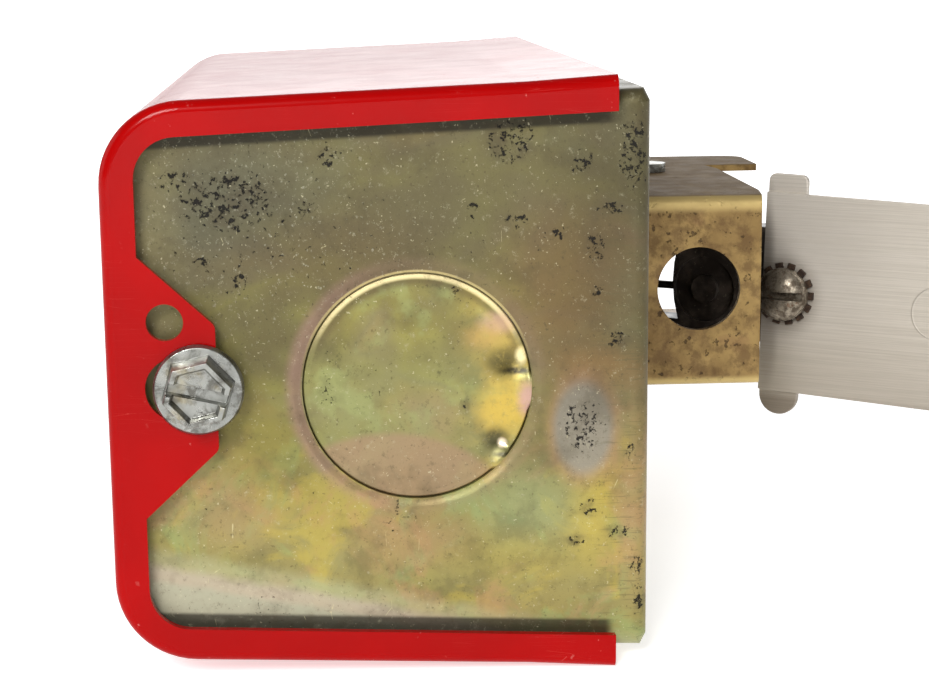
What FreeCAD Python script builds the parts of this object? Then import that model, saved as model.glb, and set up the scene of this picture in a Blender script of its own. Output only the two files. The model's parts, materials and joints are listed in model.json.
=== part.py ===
import FreeCAD, Part
import Sketcher
import math
import os

# Paddle switch for air flow in a duct.
# Origin: centre of the face that lies against the duct. +X runs into the duct along the paddle,
# +Y runs along the case, +Z is up. The paddle hangs at its no-flow stop, swung towards -Y.

doc = FreeCAD.newDocument("paddle_switch")
sheet = doc.addObject("Spreadsheet::Sheet", "Sizes")

SIZES = [
    # case: a folded tray with a back plate and two end walls
    ("case_length", 104.0),
    ("case_reach", 50.4),
    ("half_front", 25.45),
    ("half_back", 27.65),
    ("steel", 1.2),
    ("wall_return", 6.0),
    ("plate_return", 8.0),
    ("case_corner", 6.0),
    ("fold", 1.5),
    ("ear_cut", 1.2),
    # duct screws
    ("duct_screw_y", 40.0),
    ("duct_screw_z", 22.0),
    ("duct_hole", 2.3),
    # round conduit knockout in each end wall
    ("knock_x", -22.6),
    ("knock_z", -0.65),
    ("knock_radius", 11.1),
    ("knock_gap", 0.12),
    ("knock_sink", 0.35),
    ("tie_width", 2.4),
    ("tie_first_turn", -2.0),
    ("tie_second_turn", -38.0),
    # cover: one folded sheet, open towards the duct
    ("cover_sheet", 0.9),
    ("cover_face", -52.1),
    ("cover_open", -3.45),
    ("cover_bend", -12.0),
    ("cover_half_face", 26.75),
    ("cover_half_bend", 28.45),
    ("cover_half_open", 29.05),
    ("cover_length", 108.26),
    ("cover_corner", 8.0),
    ("cover_fold", 1.1),
    ("lip_x", -48.8),
    ("lip_half_face", 23.55),
    ("lip_half_open", 25.8),
    ("lip_corner", 4.0),
    ("tab_half_root", 12.6),
    ("tab_half_tip", 6.0),
    ("tab_tip_x", -41.7),
    ("slot_half", 3.05),
    ("slot_end_x", -45.4),
    ("tab_hole_x", -46.4),
    ("tab_hole_z", 6.4),
    ("tab_hole_radius", 1.75),
    # cover screws: slotted hex washer heads
    ("screw_x", -43.4),
    ("screw_radius", 2.08),
    ("screw_reach", 7.0),
    ("screw_hole", 2.14),
    ("boss_radius", 3.4),
    ("boss_reach", 1.15),
    ("washer_radius", 4.3),
    ("washer_thick", 0.9),
    ("hex_corner", 3.67),
    ("hex_tall", 2.6),
    ("drive_width", 1.2),
    ("drive_deep", 1.1),
    ("dish_radius", 2.3),
    ("dish_deep", 0.6),
    ("head_gap", 0.05),
    ("drive_turn", 12.0),
    # arm bracket: folded channel that stands out into the duct
    ("yoke_sheet", 0.9),
    ("yoke_near", -8.0),
    ("yoke_far", 44.0),
    ("yoke_top", 12.6),
    ("yoke_low", -9.9),
    ("yoke_reach", 20.6),
    ("yoke_back", -2.1),
    ("prong_start", 30.6),
    ("prong_reach", 27.0),
    ("prong_corner", 2.5),
    ("yoke_fold", 1.3),
    ("sight_x", 12.5),
    ("sight_z", 1.7),
    ("sight_radius", 4.9),
    ("foot_start", -4.0),
    ("foot_end", 40.0),
    ("foot_tall", 6.0),
    ("rivet_near", 2.0),
    ("rivet_far", 34.0),
    ("rivet_out", 3.4),
    ("rivet_radius", 1.5),
    ("rivet_head", 2.6),
    ("rivet_head_thick", 0.8),
    ("window_gap", 0.2),
    # swinging arm
    ("pivot_x", 10.5),
    ("pivot_y", 22.5),
    ("rest_swing", 34.2),
    ("pin_radius", 1.5),
    ("pin_fit", 0.05),
    ("pin_head_radius", 2.7),
    ("pin_head_thick", 1.1),
    ("pin_tail", 1.9),
    ("ring_radius", 3.0),
    ("ring_thick", 0.6),
    ("ring_gap", 0.1),
    ("groove_radius", 1.1),
    ("hub_start", 4.9),
    ("hub_end", 22.6),
    ("hub_top", 6.2),
    ("hub_low", -8.6),
    ("hub_front", -1.5),
    ("hub_back", 4.5),
    ("hub_round", 16.0),
    ("hub_edge", 0.8),
    ("ear_thick", 2.5),
    ("ear_radius", 2.8),
    ("dish_x", 9.3),
    ("hub_dish_radius", 4.2),
    ("hub_dish_deep", 0.6),
    ("knob_radius", 1.8),
    ("wire_radius", 0.5),
    ("wire_z", -2.0),
    ("wire_out", 8.0),
    ("wire_in", 20.5),
    # paddle and its fastening
    ("arm_reach", 20.2),
    ("paddle_z", -1.9),
    ("paddle_tilt", 1.77),
    ("paddle_width", 25.4),
    ("paddle_root", 3.05),
    ("paddle_tip", 118.0),
    ("paddle_thick", 0.5),
    ("paddle_front", -0.8),
    ("paddle_corner", 3.0),
    ("seat_room", 1.3),
    ("strip_half", 2.58),
    ("strip_thick", 0.8),
    ("strip_top", 15.0),
    ("strip_low", -15.8),
    ("strip_corner", 0.9),
    ("tooth_ring", 2.9),
    ("tooth_tip", 3.95),
    ("tooth_count", 14),
    ("tooth_thick", 0.5),
    ("tooth_width", 0.95),
    ("stud_radius", 1.75),
    ("stud_reach", 4.6),
    ("round_head", 3.35),
    ("round_tall", 2.1),
    ("round_slot", 1.0),
    ("round_slot_deep", 1.2),
    # return spring round the pin
    ("spring_radius", 2.4),
    ("spring_wire", 0.35),
    ("spring_turns", 4),
    ("spring_low", 6.9),
    ("spring_pitch", 0.95),
    ("spring_leg", 7.0),
    # snap switch
    ("switch_near", 12.0),
    ("switch_far", 39.8),
    ("switch_face", -12.1),
    ("switch_deep", 15.9),
    ("switch_low", -7.15),
    ("switch_tall", 10.3),
    ("switch_lid", 2.6),
    ("switch_hole_near", 14.8),
    ("switch_hole_far", 37.0),
    ("switch_hole_x", -25.2),
    ("switch_hole_radius", 1.6),
    ("lever_x", -11.2),
    ("lever_y", 39.0),
    ("lever_lift", 7.2),
    ("lever_long", 26.0),
    ("lever_wide", 4.2),
    ("lever_thick", 0.3),
    ("lever_pin", 0.5),
    ("cheek_thick", 0.8),
    ("cheek_tall", 2.0),
    ("plunger_y", 31.5),
    ("plunger_radius", 1.3),
    ("plunger_top", -10.6),
    ("plunger_long", 4.6),
    ("plunger_room", 2.0),
    ("tab_long", 7.0),
    ("tab_wide", 4.8),
    ("tab_thick", 0.8),
    ("tab_first", 16.5),
    ("tab_step", 9.4),
    # switch bracket, spacers and screws
    ("shelf_top", -16.3),
    ("shelf_near", 10.0),
    ("shelf_reach", -31.0),
    ("shelf_foot", -25.0),
    ("shelf_screw_z", -21.4),
    ("shelf_screw_near", 16.0),
    ("shelf_screw_far", 34.0),
    ("spacer_radius", 2.8),
    ("small_screw", 1.45),
    ("small_head", 2.7),
    ("small_head_tall", 1.8),
    ("ear_near", 44.2),
    ("ear_outer", -9.5),
    ("ear_top", -5.5),
    # range screw and its travelling stop
    ("range_x", -5.4),
    ("range_z", -9.8),
    ("range_radius", 1.5),
    ("range_near", 33.4),
    ("range_head_radius", 2.8),
    ("range_head_tall", 2.4),
    ("stop_near", 34.9),
    ("stop_thick", 3.0),
    ("stop_half", 2.2),
    ("stop_top", -0.6),
    ("stop_low", -12.4),
    # ground screw and wiring barrier
    ("ground_y", -36.0),
    ("ground_z", -12.0),
    ("barrier_y", 9.2),
    ("barrier_thick", 0.6),
    ("barrier_reach", -44.0),
    ("barrier_half", 21.0),
]


def fill_sheet():
    # one row per size: its name in column A, its value in column B
    for row, (name, value) in enumerate(SIZES, start=1):
        sheet.set(f"A{row}", name)
        sheet.set(f"B{row}", str(value))
        sheet.setAlias(f"B{row}", name)
    doc.recompute()


def mm(name):
    return float(sheet.get(name))


def cell(text):
    # "case_length / 2" becomes "Sizes.case_length / 2"
    words = text.replace("(", " ( ").replace(")", " ) ").split()
    named = [f"Sizes.{word}" if word[0].isalpha() else word for word in words]
    return " ".join(named)


def bind(thing, prop, text):
    thing.setExpression(prop, cell(text))


def plane(body, role):
    for feature in body.Origin.OriginFeatures:
        if feature.Role == role:
            return feature
    raise ValueError(role)


def new_body(label):
    body = doc.addObject("PartDesign::Body", label)
    body.Label = label
    return body


def new_sketch(body, name, role, offset="0"):
    sketch = body.newObject("Sketcher::SketchObject", name)
    sketch.AttachmentSupport = [(plane(body, role), "")]
    sketch.MapMode = "FlatFace"
    bind(sketch, "AttachmentOffset.Base.z", offset)
    return sketch


def pin_point(sketch, geometry, point, across, up):
    for kind, size in (("DistanceX", across), ("DistanceY", up)):
        number = sketch.addConstraint(Sketcher.Constraint(kind, -1, 1, geometry, point, 1.0))
        bind(sketch, f"Constraints[{number}]", size)


def draw_outline(sketch, corners):
    # a closed run of lines; every corner is held by its two distances from the origin
    first = sketch.GeometryCount
    count = len(corners)
    spread = 2 * math.pi / count
    spots = [FreeCAD.Vector(9 * math.cos(spread * i), 9 * math.sin(spread * i), 0) for i in range(count)]
    for i in range(count):
        sketch.addGeometry(Part.LineSegment(spots[i], spots[(i + 1) % count]), False)
    for i in range(count):
        sketch.addConstraint(Sketcher.Constraint("Coincident", first + i, 2, first + (i + 1) % count, 1))
    for i, (across, up) in enumerate(corners):
        pin_point(sketch, first + i, 1, across, up)


def draw_box(sketch, left, right, low, high):
    draw_outline(sketch, [(left, low), (right, low), (right, high), (left, high)])


def draw_circle(sketch, across, up, radius):
    circle = Part.Circle(FreeCAD.Vector(1, 1, 0), FreeCAD.Vector(0, 0, 1), 2.0)
    number = sketch.addGeometry(circle, False)
    pin_point(sketch, number, 3, across, up)
    size = sketch.addConstraint(Sketcher.Constraint("Radius", number, 2.0))
    bind(sketch, f"Constraints[{size}]", radius)


def pad(body, sketch, length, both=False, back=False):
    feature = body.newObject("PartDesign::Pad", f"{sketch.Name}Pad")
    feature.Profile = sketch
    feature.Midplane = both
    feature.Reversed = back
    bind(feature, "Length", length)
    doc.recompute()
    return feature


def pocket(body, sketch, length, both=False, back=False):
    # the volume must fall, because a pocket that points away from the solid cuts nothing
    before = body.Tip.Shape.Volume
    feature = body.newObject("PartDesign::Pocket", f"{sketch.Name}Pocket")
    feature.Profile = sketch
    feature.Midplane = both
    feature.Reversed = back
    bind(feature, "Length", length)
    doc.recompute()
    if feature.Shape.Volume >= before - 1e-6:
        raise ValueError(f"{feature.Name} cuts nothing")
    return feature


def edge_at(edge, x=None, y=None, z=None):
    # True when both ends of the edge lie at each coordinate given
    near = 1e-3
    for vertex in edge.Vertexes:
        for value, wanted in ((vertex.X, x), (vertex.Y, y), (vertex.Z, z)):
            if wanted is not None and abs(value - wanted) > near:
                return False
    return True


def runs_along_case(edge):
    return abs(edge.Vertexes[0].Y - edge.Vertexes[1].Y) > 1


def runs_across(edge):
    return abs(edge.Vertexes[0].Y - edge.Vertexes[1].Y) > 1e-3


def round_edges(body, name, radius, chosen):
    doc.recompute()
    base = body.Tip
    names = [f"Edge{i + 1}" for i, edge in enumerate(base.Shape.Edges) if chosen(edge)]
    if not names:
        raise ValueError(f"{name} finds no edge")
    fillet = body.newObject("PartDesign::Fillet", name)
    fillet.Base = (base, names)
    bind(fillet, "Radius", radius)
    doc.recompute()
    return fillet


def at(x, y, z, axis=(0, 0, 1), angle=0.0):
    return FreeCAD.Placement(FreeCAD.Vector(x, y, z), FreeCAD.Rotation(FreeCAD.Vector(*axis), angle))


def cylinder(name, radius, tall, place):
    piece = doc.addObject("Part::Cylinder", name)
    bind(piece, "Radius", radius)
    bind(piece, "Height", tall)
    piece.Placement = place
    return piece


def block(name, long, wide, tall, place):
    piece = doc.addObject("Part::Box", name)
    bind(piece, "Length", long)
    bind(piece, "Width", wide)
    bind(piece, "Height", tall)
    piece.Placement = place
    return piece


def fuse(name, pieces):
    joined = doc.addObject("Part::MultiFuse", name)
    joined.Shapes = pieces
    joined.Refine = True
    return joined


def cut(name, base, tool):
    left = doc.addObject("Part::Cut", name)
    left.Base = base
    left.Tool = tool
    return left


def tool_group(name, pieces):
    group = doc.addObject("Part::Compound", name)
    group.Links = pieces
    return group


nodes = []


def keep(label, thing):
    thing.Label = label
    nodes.append((label, thing))
    return thing


fill_sheet()

CASE_END = mm("case_length") / 2
INNER_FACE = -mm("steel")
COVER_END = mm("cover_length") / 2
LONG = "case_length * 2"


def make_chassis():
    # a solid of the outer shape, hollowed so that a back plate and two shallow end trays are left
    body = new_body("chassis")
    outer = new_sketch(body, "CaseOutline", "XZ_Plane")
    draw_outline(outer, [
        ("0", "ear_cut - half_back"),
        ("0 - ear_cut / 2", "0 - half_back"),
        ("0 - case_reach", "0 - half_front"),
        ("0 - case_reach", "half_front"),
        ("0 - ear_cut / 2", "half_back"),
        ("0", "half_back - ear_cut"),
    ])
    pad(body, outer, "case_length", both=True)
    round_edges(body, "CaseCorners", "case_corner", lambda edge: edge_at(edge, x=-mm("case_reach"))
                and runs_along_case(edge))
    round_edges(body, "CaseFolds", "fold", lambda edge: edge_at(edge, y=CASE_END)
                or edge_at(edge, y=-CASE_END))

    middle = new_sketch(body, "CaseOpen", "XZ_Plane")
    draw_box(middle, "0 - case_reach * 2", "0 - plate_return", "0 - half_back * 2", "half_back * 2")
    pocket(body, middle, "case_length - 2 * wall_return", both=True)

    hollow = new_sketch(body, "CaseHollow", "XZ_Plane")
    draw_outline(hollow, [
        ("0 - steel", "steel - half_back"),
        ("steel - case_reach", "steel - half_front"),
        ("steel - case_reach", "half_front - steel"),
        ("0 - steel", "half_back - steel"),
    ])
    pocket(body, hollow, "case_length - 2 * steel", both=True)

    window = new_sketch(body, "BracketWindow", "YZ_Plane")
    draw_box(window, "yoke_near - window_gap", "yoke_far + window_gap",
             "yoke_low - window_gap", "yoke_top + window_gap")
    pocket(body, window, "steel * 4", both=True)

    holes = new_sketch(body, "PlateHoles", "YZ_Plane")
    for y in ("duct_screw_y", "0 - duct_screw_y"):
        for z in ("duct_screw_z", "0 - duct_screw_z"):
            draw_circle(holes, y, z, "duct_hole")
    for y in ("rivet_near", "rivet_far"):
        draw_circle(holes, y, "yoke_top + rivet_out", "rivet_radius")
        draw_circle(holes, y, "yoke_low - rivet_out", "rivet_radius")
    for y in ("shelf_screw_near", "shelf_screw_far"):
        draw_circle(holes, y, "shelf_screw_z", "small_screw + pin_fit")
    draw_circle(holes, "ground_y", "ground_z", "screw_hole")
    pocket(body, holes, "steel * 4", both=True)

    knock = new_sketch(body, "KnockoutHoles", "XZ_Plane")
    draw_circle(knock, "knock_x", "knock_z", "knock_radius")
    pocket(body, knock, LONG, both=True)

    for side, name in ((-1, "NearBoss"), (1, "FarBoss")):
        boss = new_sketch(body, name, "XZ_Plane", f"{-side} * ( case_length / 2 - steel / 2 )")
        draw_circle(boss, "screw_x", "0", "boss_radius")
        pad(body, boss, "boss_reach + steel / 2", back=side > 0)
    tapped = new_sketch(body, "CoverScrewHoles", "XZ_Plane")
    draw_circle(tapped, "screw_x", "0", "screw_hole")
    pocket(body, tapped, LONG, both=True)
    keep("chassis", body)


def make_knockout(label, side):
    # the slug sits a little inside the wall and hangs on two narrow ties
    body = new_body(label)
    disc = new_sketch(body, f"{label}Disc", "XY_Plane")
    draw_circle(disc, "0", "0", "knock_radius - knock_gap")
    pad(body, disc, "steel")
    for number, turn in enumerate(("tie_first_turn", "tie_second_turn")):
        tie = new_sketch(body, f"{label}Tie{number}", "XY_Plane")
        bind(tie, "AttachmentOffset.Rotation.Angle", turn)
        draw_box(tie, "knock_radius - 4 * knock_gap", "knock_radius", "0 - tie_width / 2", "tie_width / 2")
        pad(body, tie, "steel - knock_sink")
    depth = CASE_END - mm("steel") - mm("knock_sink")
    body.Placement = at(mm("knock_x"), side * depth, mm("knock_z"), (1, 0, 0), -90.0 * side)
    keep(label, body)


def make_cover():
    # a shell solid with its lips and screw tabs, less a rounded hollow that stops one sheet short of each end
    body = new_body("cover_shell")
    outer = new_sketch(body, "CoverOutline", "XZ_Plane")
    draw_outline(outer, [
        ("cover_open", "0 - cover_half_open"),
        ("cover_bend", "0 - cover_half_bend"),
        ("cover_face", "0 - cover_half_face"),
        ("cover_face", "cover_half_face"),
        ("cover_bend", "cover_half_bend"),
        ("cover_open", "cover_half_open"),
    ])
    pad(body, outer, "cover_length", both=True)
    round_edges(body, "CoverCorners", "cover_corner", lambda edge: edge_at(edge, x=mm("cover_face"))
                and runs_along_case(edge))
    round_edges(body, "CoverFolds", "cover_fold", lambda edge: (edge_at(edge, y=COVER_END)
                or edge_at(edge, y=-COVER_END)) and not edge_at(edge, x=mm("cover_open")))

    lips = new_sketch(body, "LipOpening", "XZ_Plane")
    draw_outline(lips, [
        ("0", "0 - lip_half_open"),
        ("lip_x", "0 - lip_half_face"),
        ("lip_x", "0 - tab_half_root"),
        ("tab_tip_x", "0 - tab_half_tip"),
        ("tab_tip_x", "tab_half_tip"),
        ("lip_x", "tab_half_root"),
        ("lip_x", "lip_half_face"),
        ("0", "lip_half_open"),
    ])
    pocket(body, lips, LONG, both=True)
    for name, radius, across, high in (("LipCorners", "lip_corner", "lip_x", "lip_half_face"),
                                       ("TabCorners", "cover_sheet", "tab_tip_x", "tab_half_tip")):
        round_edges(body, name, radius, lambda edge: edge_at(edge, x=mm(across), z=mm(high))
                    or edge_at(edge, x=mm(across), z=-mm(high)))

    slot = new_sketch(body, "TabSlot", "XZ_Plane")
    draw_box(slot, "slot_end_x", "tab_tip_x + cover_sheet", "0 - slot_half", "slot_half")
    pocket(body, slot, LONG, both=True)
    for name, across, up, radius in (("TabRounds", "slot_end_x", "0", "slot_half"),
                                     ("TabHoles", "tab_hole_x", "tab_hole_z", "tab_hole_radius")):
        hole = new_sketch(body, name, "XZ_Plane")
        draw_circle(hole, across, up, radius)
        pocket(body, hole, LONG, both=True)

    space = new_body("cover_hollow")
    hollow = new_sketch(space, "CoverHollow", "XZ_Plane")
    draw_outline(hollow, [
        ("1", "cover_sheet - cover_half_open"),
        ("cover_open", "cover_sheet - cover_half_open"),
        ("cover_bend", "cover_sheet - cover_half_bend"),
        ("cover_face + cover_sheet", "cover_sheet - cover_half_face"),
        ("cover_face + cover_sheet", "cover_half_face - cover_sheet"),
        ("cover_bend", "cover_half_bend - cover_sheet"),
        ("cover_open", "cover_half_open - cover_sheet"),
        ("1", "cover_half_open - cover_sheet"),
    ])
    pad(space, hollow, "cover_length - 2 * cover_sheet", both=True)
    inner_face = mm("cover_face") + mm("cover_sheet")
    round_edges(space, "CoverInnerCorners", "cover_corner - cover_sheet",
                lambda edge: edge_at(edge, x=inner_face) and runs_along_case(edge))
    keep("cover", cut("Cover", body, space))


def make_cover_screw(label, side):
    # local +Z points out of the head; the head's washer rests on the tab of the cover
    shank = cylinder(f"{label}Shank", "screw_radius", "screw_reach", at(0, 0, -mm("screw_reach")))
    washer = cylinder(f"{label}Washer", "washer_radius", "washer_thick", at(0, 0, 0))
    hexagon = doc.addObject("Part::Prism", f"{label}Hex")
    hexagon.Polygon = 6
    bind(hexagon, "Circumradius", "hex_corner")
    bind(hexagon, "Height", "washer_thick + hex_tall")
    bevel = doc.addObject("Part::Cone", f"{label}Bevel")
    bind(bevel, "Radius1", "hex_corner + hex_tall * 1.7")
    bind(bevel, "Radius2", "hex_corner - hex_tall * 0.12")
    bind(bevel, "Height", "washer_thick + hex_tall")
    crown = doc.addObject("Part::MultiCommon", f"{label}Crown")
    crown.Shapes = [hexagon, bevel]
    whole = fuse(f"{label}Whole", [shank, washer, crown])
    top = mm("washer_thick") + mm("hex_tall")
    dish = doc.addObject("Part::Cone", f"{label}Dish")
    bind(dish, "Radius1", "dish_radius * 0.8")
    bind(dish, "Radius2", "dish_radius")
    bind(dish, "Height", "dish_deep")
    dish.Placement = at(0, 0, top - mm("dish_deep"))
    drive = block(f"{label}Drive", "washer_radius * 2", "drive_width", "drive_deep * 2",
                  at(-mm("washer_radius"), -mm("drive_width") / 2, top - mm("drive_deep")))
    screw = cut(f"{label}Cut", whole, tool_group(f"{label}Tools", [dish, drive]))
    spin = FreeCAD.Rotation(FreeCAD.Vector(0, 0, 1), -mm("drive_turn"))
    tip = FreeCAD.Rotation(FreeCAD.Vector(1, 0, 0), -90.0 * side)
    seat = COVER_END + mm("head_gap")
    screw.Placement = FreeCAD.Placement(FreeCAD.Vector(mm("screw_x"), side * seat, 0), tip * spin)
    keep(label, screw)


def make_arm_bracket():
    # a channel: a sight-hole web with a flange above and below, and a foot along each flange
    body = new_body("arm_bracket")
    section = new_sketch(body, "ChannelSection", "YZ_Plane", "yoke_back")
    draw_outline(section, [
        ("yoke_near", "yoke_low"),
        ("yoke_far", "yoke_low"),
        ("yoke_far", "yoke_low + yoke_sheet"),
        ("yoke_near + yoke_sheet", "yoke_low + yoke_sheet"),
        ("yoke_near + yoke_sheet", "yoke_top - yoke_sheet"),
        ("yoke_far", "yoke_top - yoke_sheet"),
        ("yoke_far", "yoke_top"),
        ("yoke_near", "yoke_top"),
    ])
    pad(body, section, "prong_reach - yoke_back")
    near = mm("yoke_near")
    round_edges(body, "ChannelFolds", "yoke_fold", lambda edge: edge_at(edge, y=near, z=mm("yoke_top"))
                or edge_at(edge, y=near, z=mm("yoke_low")))
    inside = near + mm("yoke_sheet")
    round_edges(body, "ChannelInner", "yoke_fold - yoke_sheet",
                lambda edge: edge_at(edge, y=inside, z=mm("yoke_top") - mm("yoke_sheet"))
                or edge_at(edge, y=inside, z=mm("yoke_low") + mm("yoke_sheet")))
    trim = new_sketch(body, "ChannelTrim", "XY_Plane")
    draw_outline(trim, [
        ("yoke_reach - 1", "yoke_near - 2"),
        ("yoke_reach", "yoke_near + 6"),
        ("yoke_reach", "prong_start - 5"),
        ("yoke_reach - 0.9", "prong_start"),
        ("prong_reach + 1", "prong_start + 0.6"),
        ("prong_reach + 1", "yoke_near - 2"),
    ])
    pocket(body, trim, "yoke_top * 4", both=True)
    lower = new_sketch(body, "LowerTrim", "XY_Plane", "yoke_low * 1.5")
    draw_box(lower, "yoke_reach - 2", "prong_reach + 1", "prong_start - 12", "yoke_far + 1")
    pocket(body, lower, "yoke_top", back=True)
    round_edges(body, "ProngRound", "prong_corner",
                lambda edge: edge_at(edge, x=mm("prong_reach"), y=mm("yoke_far")))
    sight = new_sketch(body, "SightHole", "XZ_Plane")
    draw_circle(sight, "sight_x", "sight_z", "sight_radius")
    pocket(body, sight, LONG, both=True)
    pivot = new_sketch(body, "PivotHoles", "XY_Plane")
    draw_circle(pivot, "pivot_x", "pivot_y", "pin_radius + pin_fit")
    pocket(body, pivot, "yoke_top * 4", both=True)
    feet = new_sketch(body, "BracketFeet", "YZ_Plane", "yoke_back")
    draw_box(feet, "foot_start", "foot_end", "yoke_top - yoke_sheet", "yoke_top + foot_tall")
    draw_box(feet, "foot_start", "foot_end", "yoke_low - foot_tall", "yoke_low + yoke_sheet")
    pad(body, feet, "yoke_sheet")
    holes = new_sketch(body, "FootHoles", "YZ_Plane")
    for y in ("rivet_near", "rivet_far"):
        draw_circle(holes, y, "yoke_top + rivet_out", "rivet_radius")
        draw_circle(holes, y, "yoke_low - rivet_out", "rivet_radius")
    pocket(body, holes, "yoke_sheet * 8", both=True)
    keep("arm_bracket", body)


def make_bracket_rivets():
    # four flush-tailed rivets: a low round head inside the case and a shank through foot and plate
    rivets = []
    for y in ("rivet_near", "rivet_far"):
        for side, z in (("Top", mm("yoke_top") + mm("rivet_out")), ("Low", mm("yoke_low") - mm("rivet_out"))):
            name = f"Rivet{side}{y[-3:].capitalize()}"
            shank = cylinder(f"{name}Shank", "rivet_radius", "0 - yoke_back",
                             at(mm("yoke_back"), mm(y), z, (0, 1, 0), 90))
            head = doc.addObject("Part::Cone", f"{name}Head")
            bind(head, "Radius1", "rivet_head")
            bind(head, "Radius2", "rivet_radius")
            bind(head, "Height", "rivet_head_thick")
            head.Placement = at(mm("yoke_back"), mm(y), z, (0, 1, 0), -90)
            rivets.append(fuse(name, [shank, head]))
    keep("bracket_rivets", tool_group("BracketRivets", rivets))


def arm_place(lift=0.0, tilt=0.0):
    # the arm's frame: origin on the pivot, +X along the arm towards the paddle
    swing = FreeCAD.Rotation(FreeCAD.Vector(0, 0, 1), -mm("rest_swing"))
    lean = FreeCAD.Rotation(FreeCAD.Vector(0, 1, 0), tilt)
    return FreeCAD.Placement(FreeCAD.Vector(mm("pivot_x"), mm("pivot_y"), lift), swing * lean)


def make_pivot_pin():
    low = mm("yoke_low") - mm("pin_tail")
    shaft = cylinder("PinShaft", "pin_radius", "yoke_top + pin_fit - yoke_low + pin_tail", at(0, 0, low))
    head = cylinder("PinHead", "pin_head_radius", "pin_head_thick", at(0, 0, mm("yoke_top") + mm("pin_fit")))
    whole = fuse("PinWhole", [shaft, head])
    cross = cylinder("PinCross", "wire_radius", "pin_radius * 4",
                     at(-2 * mm("pin_radius"), 0, mm("wire_z"), (0, 1, 0), 90))
    groove_low = mm("yoke_low") - mm("ring_gap") - mm("ring_thick")
    collar = cylinder("PinCollar", "pin_radius * 2", "ring_thick", at(0, 0, groove_low))
    core = cylinder("PinCore", "groove_radius", "ring_thick", at(0, 0, groove_low))
    groove = cut("PinGroove", collar, core)
    pin = cut("PivotPin", whole, tool_group("PinTools", [cross, groove]))
    pin.Placement = arm_place()
    keep("pivot_pin", pin)

    ring = cylinder("RingDisc", "ring_radius", "ring_thick", at(0, 0, 0))
    bore = cylinder("RingBore", "groove_radius", "ring_thick", at(0, 0, 0))
    mouth = block("RingMouth", "ring_radius * 2", "groove_radius * 1.8", "ring_thick",
                  at(0, -0.9 * mm("groove_radius"), 0))
    clip = cut("PinRing", ring, tool_group("RingTools", [bore, mouth]))
    clip.Placement = arm_place(lift=groove_low)
    keep("pin_retaining_ring", clip)


def make_arm_hub():
    # a moulded arm: a deep blade with two ears round the pin and a seat for the backing strip
    body = new_body("arm_hub")
    blade = new_sketch(body, "HubBlade", "XZ_Plane", "0 - hub_back")
    draw_box(blade, "hub_start", "hub_end", "hub_low", "hub_top")
    pad(body, blade, "hub_back - hub_front")
    ears = new_sketch(body, "HubEars", "XY_Plane", "hub_low")
    draw_circle(ears, "0", "0", "ear_radius")
    pad(body, ears, "hub_top - hub_low")
    bridge = new_sketch(body, "HubBridge", "XY_Plane", "hub_low")
    draw_box(bridge, "0", "hub_start + hub_edge * 3", "hub_front", "ear_radius")
    pad(body, bridge, "hub_top - hub_low")
    gap = new_sketch(body, "HubGap", "XZ_Plane")
    # the blade's end bulges a little between the ears: its edge falls back with the height squared
    half = "( ( hub_top - hub_low ) / 2 - ear_thick )"
    bulge = [(f"hub_start + ( {share} * {half} ) ^ 2 / ( 2 * hub_round )",
              f"( hub_top + hub_low ) / 2 + {share} * {half}") for share in (-1, -0.5, 0, 0.5, 1)]
    far_side = "0 - ear_radius * 2"
    draw_outline(gap, [(far_side, "hub_low + ear_thick"), *bulge, (far_side, "hub_top - ear_thick")])
    pocket(body, gap, "hub_back * 4", both=True)
    bore = new_sketch(body, "HubBore", "XY_Plane")
    draw_circle(bore, "0", "0", "pin_radius")
    pocket(body, bore, "hub_top * 6", both=True)
    seat = new_sketch(body, "StripSeat", "XY_Plane")
    draw_box(seat, "arm_reach - paddle_root - seat_room", "hub_end + 1", "hub_front - 1",
             "paddle_front + paddle_thick + strip_thick")
    pocket(body, seat, "hub_top * 6", both=True)
    wire_hole = new_sketch(body, "WireHole", "YZ_Plane")
    draw_circle(wire_hole, "0", "wire_z", "wire_radius")
    pocket(body, wire_hole, "wire_out", back=True)
    stud = new_sketch(body, "StudHole", "XZ_Plane")
    draw_circle(stud, "arm_reach", "paddle_z", "stud_radius")
    pocket(body, stud, "hub_back * 4", both=True)
    dish = new_sketch(body, "HubDish", "XZ_Plane", "0 - hub_front")
    draw_circle(dish, "dish_x", "wire_z", "hub_dish_radius")
    draw_circle(dish, "dish_x", "wire_z", "knob_radius")
    pocket(body, dish, "hub_dish_deep")
    body.Placement = arm_place()
    keep("arm_hub", body)


def make_arm_wire():
    length = "wire_in + wire_out"
    wire = cylinder("ArmWire", "wire_radius", length, at(0, 0, 0))
    offset = FreeCAD.Placement(FreeCAD.Vector(-mm("wire_in"), 0, mm("wire_z")),
                               FreeCAD.Rotation(FreeCAD.Vector(0, 1, 0), 90))
    wire.Placement = arm_place().multiply(offset)
    keep("arm_wire", wire)


def paddle_place():
    # the paddle's frame: origin on its screw, tilted a little in its own plane
    on_arm = FreeCAD.Placement(FreeCAD.Vector(mm("arm_reach"), 0, mm("paddle_z")),
                               FreeCAD.Rotation(FreeCAD.Vector(0, 1, 0), mm("paddle_tilt")))
    return arm_place().multiply(on_arm)


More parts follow.
